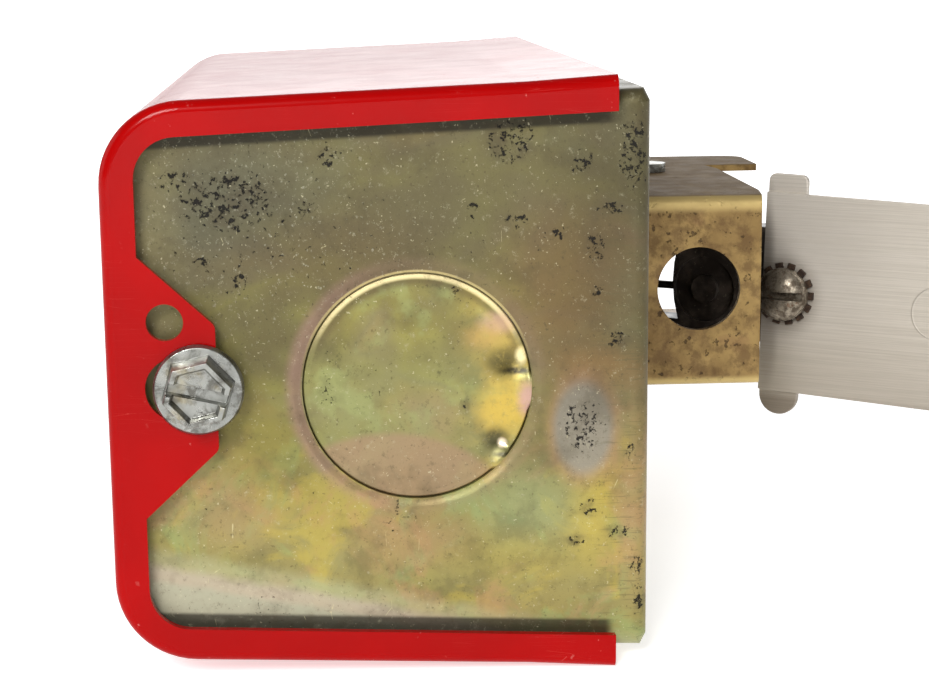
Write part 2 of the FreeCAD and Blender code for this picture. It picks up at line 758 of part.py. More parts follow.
def make_paddle():
    body = new_body("paddle")
    blade = new_sketch(body, "PaddleOutline", "XZ_Plane", "0 - paddle_front - paddle_thick")
    draw_box(blade, "0 - paddle_root", "paddle_tip", "0 - paddle_width / 2", "paddle_width / 2")
    pad(body, blade, "paddle_thick")
    round_edges(body, "PaddleTip", "paddle_corner", lambda edge: edge_at(edge, x=mm("paddle_tip"))
                and runs_across(edge))
    hole = new_sketch(body, "PaddleHole", "XZ_Plane")
    draw_circle(hole, "0", "0", "stud_radius")
    pocket(body, hole, "paddle_width", both=True)
    body.Placement = paddle_place()
    keep("paddle", body)


def make_backing_strip():
    body = new_body("backing_strip")
    strip = new_sketch(body, "StripOutline", "XZ_Plane", "0 - paddle_front - paddle_thick - strip_thick")
    draw_box(strip, "0 - paddle_root", "0 - paddle_root + strip_half * 2", "strip_low", "strip_top")
    pad(body, strip, "strip_thick")
    for name, radius, height in (("StripTop", "strip_corner", "strip_top"),
                                 ("StripLow", "strip_half * 0.98", "strip_low")):
        round_edges(body, name, radius, lambda edge: edge_at(edge, z=mm(height)) and runs_across(edge))
    hole = new_sketch(body, "StripHole", "XZ_Plane")
    draw_circle(hole, "0", "0", "stud_radius")
    pocket(body, hole, "paddle_width", both=True)
    body.Placement = paddle_place()
    keep("backing_strip", body)


def screw_seat(depth):
    # local +Z points out of the paddle's front face, from the depth given in the paddle's frame
    return paddle_place().multiply(at(0, depth, 0, (1, 0, 0), 90))


def make_paddle_fasteners():
    ring = cylinder("ToothRing", "tooth_ring", "tooth_thick", at(0, 0, 0))
    teeth = [ring]
    for number in range(int(mm("tooth_count"))):
        angle = number * 360.0 / mm("tooth_count")
        reach = FreeCAD.Vector(0, -mm("tooth_width") / 2, 0)
        tooth = block(f"Tooth{number}", "tooth_tip", "tooth_width", "tooth_thick", at(0, 0, 0))
        turn = FreeCAD.Rotation(FreeCAD.Vector(0, 0, 1), angle)
        tooth.Placement = FreeCAD.Placement(turn.multVec(reach), turn)
        teeth.append(tooth)
    disc = fuse("ToothDisc", teeth)
    bore = cylinder("ToothBore", "stud_radius", "tooth_thick", at(0, 0, 0))
    washer = cut("LockWasher", disc, bore)
    front = mm("paddle_front")
    washer.Placement = screw_seat(front)
    keep("lock_washer", washer)

    head = cylinder("RoundHeadRim", "round_head", "round_tall * 0.35", at(0, 0, 0))
    keep_top = block("RoundHeadTop", "round_head * 2", "round_head * 2", "round_tall",
                     at(-mm("round_head"), -mm("round_head"), 0))
    flat = doc.addObject("Part::Ellipsoid", "RoundHeadOval")
    bind(flat, "Radius1", "round_tall")
    bind(flat, "Radius2", "round_head")
    bind(flat, "Radius3", "round_head")
    cap = doc.addObject("Part::MultiCommon", "RoundHeadCap")
    cap.Shapes = [flat, keep_top]
    stud = cylinder("StudShank", "stud_radius", "stud_reach + tooth_thick",
                    at(0, 0, -mm("stud_reach") - mm("tooth_thick")))
    whole = fuse("RoundScrewWhole", [head, cap, stud])
    slot = block("RoundSlot", "round_head * 3", "round_slot", "round_tall",
                 at(-1.5 * mm("round_head"), -mm("round_slot") / 2, mm("round_tall") - mm("round_slot_deep")))
    screw = cut("PaddleScrew", whole, slot)
    screw.Placement = screw_seat(front - mm("tooth_thick"))
    keep("paddle_screw", screw)


def make_return_spring():
    # a torsion coil between the upper ear and the upper flange, with two short legs
    turns = mm("spring_turns")
    pitch = mm("spring_pitch")
    radius = mm("spring_radius")
    helix = Part.makeHelix(pitch, pitch * turns, radius)
    start = FreeCAD.Vector(radius, 0, 0)
    end = FreeCAD.Vector(radius, 0, pitch * turns)
    leg = FreeCAD.Vector(0, mm("spring_leg"), 0)
    path = Part.Wire([Part.makeLine(start - leg, start)] + helix.Edges + [Part.makeLine(end, end + leg)])
    circle = Part.Wire(Part.makeCircle(mm("spring_wire"), start - leg, FreeCAD.Vector(0, 1, 0)))
    coil = path.makePipeShell([circle], True, True)
    spring = doc.addObject("Part::Feature", "ReturnSpring")
    spring.Shape = coil
    spring.Placement = at(mm("pivot_x"), mm("pivot_y"), mm("spring_low"), (0, 0, 1), -90 - mm("rest_swing"))
    keep("return_spring", spring)


def make_switch():
    # a small snap switch: case and lid, plunger, blade lever with its pin, and flat terminals
    low = mm("switch_low")
    joint = low + mm("switch_tall") - mm("switch_lid")
    parts = (("switch_case", low, "switch_tall - switch_lid"), ("switch_lid_plate", joint, "switch_lid"))
    for label, start, tall in parts:
        body = new_body(label)
        shell = new_sketch(body, f"{label}Outline", "XY_Plane")
        draw_box(shell, "switch_face - switch_deep", "switch_face", "switch_near", "switch_far")
        pad(body, shell, tall)
        round_edges(body, f"{label}Round", "cover_sheet", lambda edge: edge_at(edge, x=mm("switch_face"))
                    and abs(edge.Vertexes[0].Z - edge.Vertexes[1].Z) > 1)
        holes = new_sketch(body, f"{label}Holes", "XY_Plane")
        draw_circle(holes, "switch_hole_x", "switch_hole_near", "switch_hole_radius")
        draw_circle(holes, "switch_hole_x", "switch_hole_far", "switch_hole_radius")
        pocket(body, holes, "switch_tall * 3", both=True)
        if label == "switch_case":
            bore = new_sketch(body, "PlungerBore", "YZ_Plane", "plunger_top - plunger_long - plunger_room")
            draw_circle(bore, "plunger_y", "switch_tall / 2", "plunger_radius + pin_fit")
            pocket(body, bore, "plunger_long * 2", back=True)
        body.Placement = at(0, 0, start)
        keep(label, body)

    middle = low + mm("switch_tall") / 2
    plunger = cylinder("SwitchPlunger", "plunger_radius", "plunger_long",
                       at(mm("plunger_top") - mm("plunger_long"), mm("plunger_y"), middle, (0, 1, 0), 90))
    keep("switch_plunger", plunger)

    lift = 90 + mm("lever_lift")
    blade = block("LeverBlade", "lever_thick", "lever_long", "lever_wide",
                  at(-mm("lever_thick") / 2, -mm("lever_long"), -mm("lever_wide") / 2))
    curl = cylinder("LeverCurl", "lever_pin", "lever_wide", at(0, 0, -mm("lever_wide") / 2))
    tip_curl = cylinder("LeverTip", "lever_thick * 1.5", "lever_wide",
                        at(0, -mm("lever_long"), -mm("lever_wide") / 2))
    lever = fuse("SwitchLever", [blade, curl, tip_curl])
    lever.Placement = at(mm("lever_x"), mm("lever_y"), middle, (0, 0, 1), lift - 90)
    keep("switch_lever", lever)

    cheeks = []
    for side in (-1, 1):
        floor = middle + side * (mm("lever_wide") / 2 + 0.3) - (mm("cheek_thick") if side < 0 else 0)
        cheeks.append(block(f"Cheek{side + 2}", "cheek_tall", "cheek_tall", "cheek_thick",
                            at(mm("switch_face"), mm("lever_y") - mm("cheek_tall") / 2, floor)))
    keep("lever_cheeks", tool_group("LeverCheeks", cheeks))

    tabs = []
    for number in range(3):
        y = mm("tab_first") + number * mm("tab_step")
        tabs.append(block(f"Terminal{number}", "tab_long", "tab_wide", "tab_thick",
                          at(mm("switch_face") - mm("switch_deep") - mm("tab_long"), y - mm("tab_wide") / 2,
                             middle - mm("tab_thick") / 2)))
    keep("switch_terminals", tool_group("SwitchTerminals", tabs))


def make_switch_bracket():
    # a shelf under the switch, its foot on the back plate and one ear for the range screw
    body = new_body("switch_bracket")
    section = new_sketch(body, "ShelfSection", "XZ_Plane", "0 - ear_near - steel")
    draw_outline(section, [
        ("shelf_reach", "shelf_top - steel"),
        ("0 - steel * 2", "shelf_top - steel"),
        ("0 - steel * 2", "shelf_foot"),
        ("0 - steel", "shelf_foot"),
        ("0 - steel", "shelf_top"),
        ("shelf_reach", "shelf_top"),
    ])
    pad(body, section, "ear_near + steel - shelf_near")
    ear = new_sketch(body, "RangeEar", "XZ_Plane", "0 - ear_near - steel")
    draw_box(ear, "ear_outer", "0 - steel * 1.9", "shelf_top - steel / 2", "ear_top")
    pad(body, ear, "steel")
    bore = new_sketch(body, "RangeBore", "XZ_Plane")
    draw_circle(bore, "range_x", "range_z", "range_radius + pin_fit")
    pocket(body, bore, LONG, both=True)
    holes = new_sketch(body, "ShelfHoles", "XY_Plane")
    draw_circle(holes, "switch_hole_x", "switch_hole_near", "small_screw")
    draw_circle(holes, "switch_hole_x", "switch_hole_far", "small_screw")
    pocket(body, holes, "case_length", both=True)
    feet = new_sketch(body, "ShelfFootHoles", "YZ_Plane")
    draw_circle(feet, "shelf_screw_near", "shelf_screw_z", "small_screw")
    draw_circle(feet, "shelf_screw_far", "shelf_screw_z", "small_screw")
    pocket(body, feet, "case_length", both=True)
    keep("switch_bracket", body)


def small_screw(name, reach, place):
    # a pan-head screw whose local +Z points out of its head
    shank = cylinder(f"{name}Shank", "small_screw", reach, at(0, 0, 0, (1, 0, 0), 180))
    head = doc.addObject("Part::Cone", f"{name}Head")
    bind(head, "Radius1", "small_head")
    bind(head, "Radius2", "small_head * 0.75")
    bind(head, "Height", "small_head_tall")
    whole = fuse(f"{name}Whole", [shank, head])
    slot = block(f"{name}Slot", "small_head * 3", "round_slot * 0.8", "small_head_tall",
                 at(-1.5 * mm("small_head"), -0.4 * mm("round_slot"), mm("small_head_tall") / 2))
    screw = cut(name, whole, slot)
    screw.Placement = place
    return screw


def make_switch_fasteners():
    top = mm("switch_low") + mm("switch_tall")
    spots = (("Near", "switch_hole_near"), ("Far", "switch_hole_far"))
    screws = [small_screw(f"SwitchScrew{name}", "switch_low + switch_tall - shelf_top + steel * 2",
                          at(mm("switch_hole_x"), mm(y), top)) for name, y in spots]
    keep("switch_screws", tool_group("SwitchScrews", screws))
    spacers = []
    for name, y in spots:
        place = at(mm("switch_hole_x"), mm(y), mm("shelf_top"))
        tube = cylinder(f"Spacer{name}Tube", "spacer_radius", "switch_low - shelf_top", place)
        bore = cylinder(f"Spacer{name}Bore", "switch_hole_radius", "switch_low - shelf_top", place)
        spacers.append(cut(f"Spacer{name}", tube, bore))
    keep("switch_spacers", tool_group("SwitchSpacers", spacers))
    seats = (("Near", "shelf_screw_near"), ("Far", "shelf_screw_far"))
    feet = [small_screw(f"ShelfScrew{name}", "steel * 1.9",
                        at(-2 * mm("steel"), mm(y), mm("shelf_screw_z"), (0, 1, 0), -90))
            for name, y in seats]
    keep("switch_bracket_screws", tool_group("ShelfScrews", feet))


def make_range_adjuster():
    # a captive screw along Y that carries a travelling stop for the inner end of the arm wire
    start = mm("range_near")
    outer = mm("ear_near") + mm("steel") + mm("ring_gap")
    shaft = cylinder("RangeShaft", "range_radius", "ear_near + steel + ring_gap - range_near",
                     at(mm("range_x"), start, mm("range_z"), (1, 0, 0), -90))
    head = cylinder("RangeHead", "range_head_radius", "range_head_tall",
                    at(mm("range_x"), outer, mm("range_z"), (1, 0, 0), -90))
    whole = fuse("RangeWhole", [shaft, head])
    slot = block("RangeSlot", "range_head_radius * 3", "range_head_tall", "round_slot",
                 at(mm("range_x") - 1.5 * mm("range_head_radius"), outer + mm("range_head_tall") / 2,
                    mm("range_z") - mm("round_slot") / 2))
    groove_start = mm("ear_near") - mm("ring_gap") - mm("ring_thick")
    collar = cylinder("RangeCollar", "range_radius * 2", "ring_thick",
                      at(mm("range_x"), groove_start, mm("range_z"), (1, 0, 0), -90))
    core = cylinder("RangeCore", "groove_radius", "ring_thick",
                    at(mm("range_x"), groove_start, mm("range_z"), (1, 0, 0), -90))
    groove = cut("RangeGroove", collar, core)
    keep("range_screw", cut("RangeScrew", whole, tool_group("RangeTools", [slot, groove])))

    ring = cylinder("ClipDisc", "ring_radius * 0.9", "ring_thick",
                    at(mm("range_x"), groove_start, mm("range_z"), (1, 0, 0), -90))
    bore = cylinder("ClipBore", "groove_radius", "ring_thick",
                    at(mm("range_x"), groove_start, mm("range_z"), (1, 0, 0), -90))
    mouth = block("ClipMouth", "groove_radius * 1.8", "ring_thick", "ring_radius * 2",
                  at(mm("range_x") - 0.9 * mm("groove_radius"), groove_start, mm("range_z")))
    keep("range_screw_clip", cut("RangeClip", ring, tool_group("ClipTools", [bore, mouth])))

    stop = block("StopBlock", "stop_half * 2", "stop_thick", "stop_top - stop_low",
                 at(mm("range_x") - mm("stop_half"), mm("stop_near"), mm("stop_low")))
    thread = cylinder("StopThread", "range_radius + pin_fit", "stop_thick * 2",
                      at(mm("range_x"), mm("stop_near") - 1, mm("range_z"), (1, 0, 0), -90))
    keep("range_stop", cut("RangeStop", stop, thread))


def make_wiring_pieces():
    # the ground screw in the back plate and the paper barrier beside the switch
    place = at(INNER_FACE, mm("ground_y"), mm("ground_z"), (0, 1, 0), -90)
    shank = cylinder("GroundShank", "screw_radius", "steel - pin_fit", at(0, 0, -mm("steel") + mm("pin_fit")))
    washer = cylinder("GroundWasher", "washer_radius", "washer_thick", at(0, 0, 0))
    hexagon = doc.addObject("Part::Prism", "GroundHex")
    hexagon.Polygon = 6
    bind(hexagon, "Circumradius", "hex_corner")
    bind(hexagon, "Height", "washer_thick + hex_tall")
    whole = fuse("GroundWhole", [shank, washer, hexagon])
    slot = block("GroundSlot", "washer_radius * 2", "drive_width", "drive_deep * 2",
                 at(-mm("washer_radius"), -mm("drive_width") / 2,
                    mm("washer_thick") + mm("hex_tall") - mm("drive_deep")))
    screw = cut("GroundScrew", whole, slot)
    screw.Placement = place
    keep("ground_screw", screw)

    body = new_body("wiring_barrier")
    panel = new_sketch(body, "BarrierPanel", "XZ_Plane", "0 - barrier_y - barrier_thick")
    draw_box(panel, "barrier_reach", "yoke_back - 0.3", "0 - barrier_half", "barrier_half")
    pad(body, panel, "barrier_thick")
    keep("wiring_barrier", body)


def check_and_write():
    doc.recompute()
    failed = [thing.Name for thing in doc.Objects if "Invalid" in thing.State or "Error" in thing.State]
    if failed:
        raise ValueError(f"failed objects: {failed}")
    for label, thing in nodes:
        if thing.Shape.isNull() or not thing.Shape.isValid() or not thing.Shape.Solids:
            raise ValueError(f"bad shape: {label}")
    os.makedirs("parts", exist_ok=True)
    for label, thing in nodes:
        thing.Shape.exportStep(f"parts/{label}.step")
        print(label, len(thing.Shape.Solids), round(thing.Shape.Volume, 1))


make_chassis()
make_knockout("knockout_near", -1)
make_knockout("knockout_far", 1)
make_cover()
make_cover_screw("cover_screw_near", -1)
make_cover_screw("cover_screw_far", 1)
make_arm_bracket()
make_bracket_rivets()
make_pivot_pin()
make_arm_hub()
make_arm_wire()
make_paddle()
make_backing_strip()
make_paddle_fasteners()
make_return_spring()
make_switch()
make_switch_bracket()
make_switch_fasteners()
make_range_adjuster()
make_wiring_pieces()
check_and_write()
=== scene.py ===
import json
import math

import bmesh
import bpy
import numpy as np
from mathutils import Matrix, Vector

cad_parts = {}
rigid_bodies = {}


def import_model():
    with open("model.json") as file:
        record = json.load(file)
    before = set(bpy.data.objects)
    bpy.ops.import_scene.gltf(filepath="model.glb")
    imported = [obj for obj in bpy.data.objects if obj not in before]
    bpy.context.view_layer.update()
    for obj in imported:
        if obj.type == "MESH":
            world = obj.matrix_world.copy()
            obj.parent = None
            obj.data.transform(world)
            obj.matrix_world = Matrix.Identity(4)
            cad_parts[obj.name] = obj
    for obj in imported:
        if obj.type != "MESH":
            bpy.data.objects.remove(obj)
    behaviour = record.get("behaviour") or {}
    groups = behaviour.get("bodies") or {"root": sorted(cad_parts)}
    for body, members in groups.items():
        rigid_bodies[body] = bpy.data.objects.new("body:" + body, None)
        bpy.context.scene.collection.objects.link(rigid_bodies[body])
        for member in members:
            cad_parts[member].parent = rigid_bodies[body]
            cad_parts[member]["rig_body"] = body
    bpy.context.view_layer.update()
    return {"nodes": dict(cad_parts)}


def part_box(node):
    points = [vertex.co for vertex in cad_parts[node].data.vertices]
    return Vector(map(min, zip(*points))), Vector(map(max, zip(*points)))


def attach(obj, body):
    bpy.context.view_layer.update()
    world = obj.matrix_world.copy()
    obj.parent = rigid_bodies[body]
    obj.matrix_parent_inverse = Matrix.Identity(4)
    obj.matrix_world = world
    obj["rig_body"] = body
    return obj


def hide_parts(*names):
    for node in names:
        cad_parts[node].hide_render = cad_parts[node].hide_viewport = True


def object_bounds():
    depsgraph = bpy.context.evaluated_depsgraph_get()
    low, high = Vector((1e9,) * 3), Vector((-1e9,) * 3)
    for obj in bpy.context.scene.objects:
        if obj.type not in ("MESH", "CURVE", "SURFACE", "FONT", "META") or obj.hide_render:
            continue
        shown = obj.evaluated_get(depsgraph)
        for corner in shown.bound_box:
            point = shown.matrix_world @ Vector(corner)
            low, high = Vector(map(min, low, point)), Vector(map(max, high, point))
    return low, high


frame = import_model()
nodes = frame["nodes"]
scene = bpy.context.scene
print("frame loaded:", len(nodes), "nodes")


# one material and short ways to add nodes to it, where every length is in millimetres
class Finish:
    def __init__(self, name):
        self.material = bpy.data.materials.new(name)
        self.material.use_nodes = True
        self.tree = self.material.node_tree
        self.shader = self.tree.nodes["Principled BSDF"]
        coordinates = self.tree.nodes.new("ShaderNodeTexCoord")
        # place = object coordinates in metres times 1000
        self.place = self.vector("MULTIPLY", coordinates.outputs["Object"], (1000, 1000, 1000))

    def add(self, kind, **settings):
        # a new node of that kind with its settings
        node = self.tree.nodes.new(kind)
        for key, value in settings.items():
            setattr(node, key, value)
        return node

    def put(self, socket, value):
        # link another socket, or set a plain value, with alpha 1 after three colour channels
        if isinstance(value, bpy.types.NodeSocket):
            self.tree.links.new(value, socket)
        elif hasattr(value, "__len__") and len(value) == 3 and len(socket.default_value) == 4:
            socket.default_value = (*value, 1)
        else:
            socket.default_value = value

    def vector(self, operation, first, second=None):
        # result = first (operation) second, on vectors
        node = self.add("ShaderNodeVectorMath", operation=operation)
        self.put(node.inputs[0], first)
        if second is not None:
            self.put(node.inputs[1], second)
        return node.outputs["Value"] if operation in ("LENGTH", "DISTANCE") else node.outputs["Vector"]

    def math(self, operation, first, second=0.0, third=0.0):
        # result = first (operation) second, on numbers
        node = self.add("ShaderNodeMath", operation=operation)
        for socket, value in zip(node.inputs, (first, second, third)):
            self.put(socket, value)
        return node.outputs[0]

    def noise(self, size, detail=4, rough=0.55, twist=0.0, stretch=(1, 1, 1), shift=0.0):
        # value = noise of (place / (size times stretch)), moved by the shift
        placed = self.vector("MULTIPLY", self.place, tuple(1 / (size * s) for s in stretch))
        if shift:
            placed = self.vector("ADD", placed, (shift, shift * 1.7, -shift))
        node = self.add("ShaderNodeTexNoise", normalize=True)
        self.put(node.inputs["Vector"], placed)
        for key, value in (("Scale", 1.0), ("Detail", detail), ("Roughness", rough), ("Distortion", twist)):
            node.inputs[key].default_value = value
        return node.outputs["Fac"]

    def cells(self, size, stretch, feature, shift):
        # value = distance in a cell pattern of (place / (size times stretch)) plus the shift
        placed = self.vector("MULTIPLY", self.place, tuple(1 / (size * s) for s in stretch))
        placed = self.vector("ADD", placed, (shift, -shift, shift))
        node = self.add("ShaderNodeTexVoronoi", feature=feature)
        self.put(node.inputs["Vector"], placed)
        node.inputs["Scale"].default_value = 1.0
        node.inputs["Randomness"].default_value = 1.0
        return node.outputs["Distance"]

    def step(self, value, low, high, start=0.0, end=1.0):
        # start below low, end above high, a smooth step between them
        node = self.add("ShaderNodeMapRange", interpolation_type="SMOOTHSTEP")
        for socket, number in zip(node.inputs, (value, low, high, start, end)):
            self.put(socket, number)
        return node.outputs[0]

    def spot(self, centre, size, soft=0.35):
        # 1 inside an ellipsoid of that half size round the centre, 0 outside, fading over the soft share
        moved = self.vector("DIVIDE", self.vector("SUBTRACT", self.place, centre), size)
        return self.step(self.vector("LENGTH", moved), 1 - soft, 1 + soft, 1.0, 0.0)

    def mix(self, share, first, second):
        # result = first times (1 - share) + second times share
        node = self.add("ShaderNodeMix", data_type="RGBA", blend_type="MIX")
        self.put(node.inputs["Factor"], share)
        self.put(node.inputs[6], first)
        self.put(node.inputs[7], second)
        return node.outputs[2]

    def ramp(self, value, stops):
        # straight blend between the colours of the stops on either side of the value
        node = self.add("ShaderNodeValToRGB")
        points = node.color_ramp.elements
        while len(points) < len(stops):
            points.new(0.5)
        for point, (position, colour) in zip(points, stops):
            point.position = position
            point.color = (*colour, 1)
        self.put(node.inputs[0], value)
        return node.outputs["Color"]

    def axis(self, letter):
        # one part of the place
        node = self.add("ShaderNodeSeparateXYZ")
        self.put(node.inputs[0], self.place)
        return node.outputs[letter]

    def bump(self, *layers):
        # each layer is (height in millimetres, its value); they follow one another
        before = None
        for tall, value in layers:
            node = self.add("ShaderNodeBump")
            node.inputs["Distance"].default_value = tall / 1000
            node.inputs["Strength"].default_value = 1.0
            self.put(node.inputs["Height"], value)
            if before is not None:
                self.put(node.inputs["Normal"], before)
            before = node.outputs["Normal"]
        self.put(self.shader.inputs["Normal"], before)

    def set(self, **inputs):
        # put each value into the shader's socket of that short name
        names = dict(colour="Base Color", metal="Metallic", rough="Roughness", coat="Coat Weight",
                     coatRough="Coat Roughness", level="Specular IOR Level")
        for key, value in inputs.items():
            self.put(self.shader.inputs[names[key]], value)
        return self.material


def colour(red, green, blue):
    # linear value = sRGB value / 255 raised to 2.2
    return tuple((channel / 255) ** 2.2 for channel in (red, green, blue))


def makeRedPaint():
    # red base by a cloud noise, then dust, chips and scratches where their noises pass a limit
    look = Finish("redEnamel")
    cloudy = look.noise(14, detail=5)
    base = look.mix(look.step(cloudy, 0.35, 0.7), colour(147, 2, 3), colour(158, 3, 4))
    dust = look.step(look.noise(0.9, detail=3, shift=3.1), 0.66, 0.72)
    dusty = look.math("MULTIPLY", dust, look.step(look.noise(9, shift=7.7), 0.5, 0.7))
    base = look.mix(look.math("MULTIPLY", dusty, 0.55), base, colour(226, 150, 142))
    chips = look.step(look.noise(1.5, detail=6, rough=0.7, shift=12.4), 0.735, 0.75)
    base = look.mix(chips, base, colour(70, 12, 10))
    hair = look.cells(9, stretch=(1.6, 1, 0.06), feature="DISTANCE_TO_EDGE", shift=4.2)
    scratch = look.math("MULTIPLY", look.step(hair, 0.0, 0.004, 1.0, 0.0),
                        look.step(look.noise(11, shift=2), 0.52, 0.62))
    base = look.mix(look.math("MULTIPLY", scratch, 0.35), base, colour(236, 120, 110))
    rough = look.step(look.noise(6, detail=6, shift=5.5), 0.3, 0.75, 0.2, 0.25)
    rough = look.math("ADD", rough, look.math("MULTIPLY", dusty, 0.25))
    look.bump((0.003, look.noise(4.5, detail=2)), (0.002, look.noise(0.8, detail=3)),
              (0.03, look.math("SUBTRACT", 1.0, chips)))
    return look.set(colour=base, metal=0.0, rough=rough, coat=0.11, coatRough=0.06, level=0.05)


def zincColour(look):
    # thin-film tones: a slow noise walks through olive, green, straw, gold and rose
    slow = look.noise(17, detail=3, rough=0.5, twist=0.6, stretch=(1.2, 1, 0.8))
    film = look.ramp(slow, [(0.25, colour(116, 106, 70)), (0.40, colour(132, 124, 76)),
                            (0.48, colour(150, 143, 78)),
                            (0.55, colour(139, 129, 87)), (0.62, colour(160, 141, 84)), (0.72,
                                                                                         colour(168, 134,
                                                                                                104))])
    fine = look.noise(3.2, detail=6, rough=0.65, shift=9)
    film = look.mix(look.step(fine, 0.38, 0.66, 0.0, 0.4), film, colour(103, 88, 56))
    pearl = look.step(look.noise(8, detail=4, shift=20), 0.52, 0.68, 0.0, 0.5)
    film = look.mix(pearl, film, colour(150, 152, 110))
    return film


wall = {
    "pitLimit": 0.72,
    "pitFall": 0.19,
    "knock": (-22.6, -52.0, -0.65),
    "dimples": [((-13.3, -52.0, 1.8), 1.7, 0.6), ((-14.7, -52.0, -6.2), 1.0, 0.45)],
    # colours on the slug beside its ties, with the painted shadows and painted highlights of its two dimples
    # and the tear: across, up, half width, half height, share, colour
    "slugTints": [(-14.0, -3.0, 2.6, 2.4, 0.75, (206, 172, 74)),
                  (-11.9, -2.2, 0.9, 1.6, 0.8, (186, 146, 140)),
                  (-14.8, 5.4, 1.7, 1.0, 0.6, (196, 158, 134)), (-16.2, 4.0, 1.6, 1.2, 0.5, (186, 150, 88)),
                  (-14.1, 1.5, 1.9, 1.3, 0.75, (58, 56, 36)), (-12.5, 2.1, 0.5, 0.75, 0.9, (246, 230, 172)),
                  (-12.9, 0.6, 1.5, 0.34, 0.92, (24, 20, 14)), (-15.1, -6.0, 1.1, 0.9, 0.75, (56, 52, 36)),
                  (-14.4, -6.5, 0.4, 0.4, 0.9, (240, 220, 190)), (-14.2, -7.6, 0.9, 0.25, 0.8,
                                                                  (30, 24, 16))],
    # where the black pits gather: across, up, half width, half height
    "pits": [(-45.3, 19.5, 2.0, 1.2), (-40.2, 17.6, 5.0, 3.4), (-33.0, 16.8, 0.9, 1.1),
             (-42.9, 11.7, 1.1, 0.6),
             (-39.3, 9.7, 0.8, 1.3), (-30.6, 21.5, 1.3, 1.0), (-13.3, 22.7, 2.6, 2.4), (-6.6, 20.7, 1.5,
                                                                                        1.3),
             (-1.7, 21.5, 1.8, 4.0), (-3.7, 16.3, 1.6, 0.7), (-13.0, 15.3, 1.2, 0.8), (-8.9, 14.0, 0.8,
                                                                                       0.7),
             (-5.4, 12.7, 1.1, 1.6), (-5.2, 8.4, 0.7, 0.9), (-3.2, 3.6, 1.5, 0.9), (-6.6, -4.8, 2.2, 2.8),
             (-1.8, -7.9, 0.7, 1.1), (-5.9, -13.1, 0.9, 0.9), (-7.1, -16.4, 1.0, 0.6), (-3.2, -15.6, 1.3,
                                                                                        0.7),
             (-1.2, -19.2, 0.8, 1.3), (-0.8, -22.5, 0.8, 2.0), (-17.2, 16.3, 0.7, 0.9)],
    # broad tints: across, up, half width, half height, share, colour
    "tints": [(-41.0, 16.5, 7.5, 5.5, 0.55, (96, 97, 84)), (-47.0, 12.0, 2.2, 12.0, 0.5, (150, 142, 98)),
              (-30.0, 12.0, 9.0, 3.5, 0.5, (122, 104, 68)), (-8.0, 8.5, 6.0, 7.0, 0.55, (146, 112, 70)),
              (-5.0, 0.5, 4.0, 2.0, 0.6, (188, 146, 92)), (-38.0, -6.0, 4.0, 5.0, 0.55, (168, 156, 70)),
              (-5.5, -13.0, 2.2, 5.0, 0.65, (206, 182, 82)), (-12.0, -12.5, 4.5, 3.5, 0.55,
                                                              (160, 172, 118)),
              (-23.0, -16.0, 5.0, 2.4, 0.5, (172, 138, 96)), (-1.2, -12.0, 1.6, 9.0, 0.5, (182, 146, 100)),
              (-41.0, -13.0, 4.0, 3.0, 0.45, (178, 146, 104)), (-10.8, -18.0, 7.0, 2.2, 0.45,
                                                                (176, 160, 82))],
    "greyPatch": (-6.5, -5.1, 2.9, 4.6),
}


def addPits(look, film, groups):
    # dark grains show where a fine noise passes a limit, and the limit falls inside the groups
    mottle = look.noise(0.8, detail=7, rough=0.82, shift=36)
    wide = look.noise(4.5, detail=5, rough=0.6, shift=73)
    film = look.mix(look.step(mottle, 0.56, 0.74, 0.0, 0.42), film, colour(196, 192, 160))
    film = look.mix(look.step(mottle, 0.46, 0.28, 0.0, 0.6), film, colour(58, 54, 36))
    film = look.mix(look.step(wide, 0.5, 0.68, 0.0, 0.32), film, colour(70, 62, 42))
    grains = look.noise(0.66, detail=5, rough=0.72, shift=51)
    limit = look.math("SUBTRACT", wall["pitLimit"], look.math("MULTIPLY", groups, wall["pitFall"]))
    pits = look.step(look.math("SUBTRACT", grains, limit), 0.0, 0.03)
    smudge = look.math("MULTIPLY", look.step(look.noise(2.4, detail=5, shift=63), 0.46, 0.66), groups)
    film = look.mix(look.math("MULTIPLY", smudge, 0.5), film, colour(70, 62, 46))
    film = look.mix(look.math("MULTIPLY", pits, 0.94), film, colour(22, 19, 16))
    # a sprinkle of tiny brown specks and pale crystals over everything
    dots = look.step(look.noise(0.42, detail=3, rough=0.6, shift=88), 0.64, 0.72)
    film = look.mix(look.math("MULTIPLY", dots, 0.42), film, colour(62, 50, 32))
    pale = look.step(look.noise(0.36, detail=2, rough=0.6, shift=97), 0.68, 0.75)
    return look.mix(look.math("MULTIPLY", pale, 0.4), film, colour(212, 204, 168)), pits


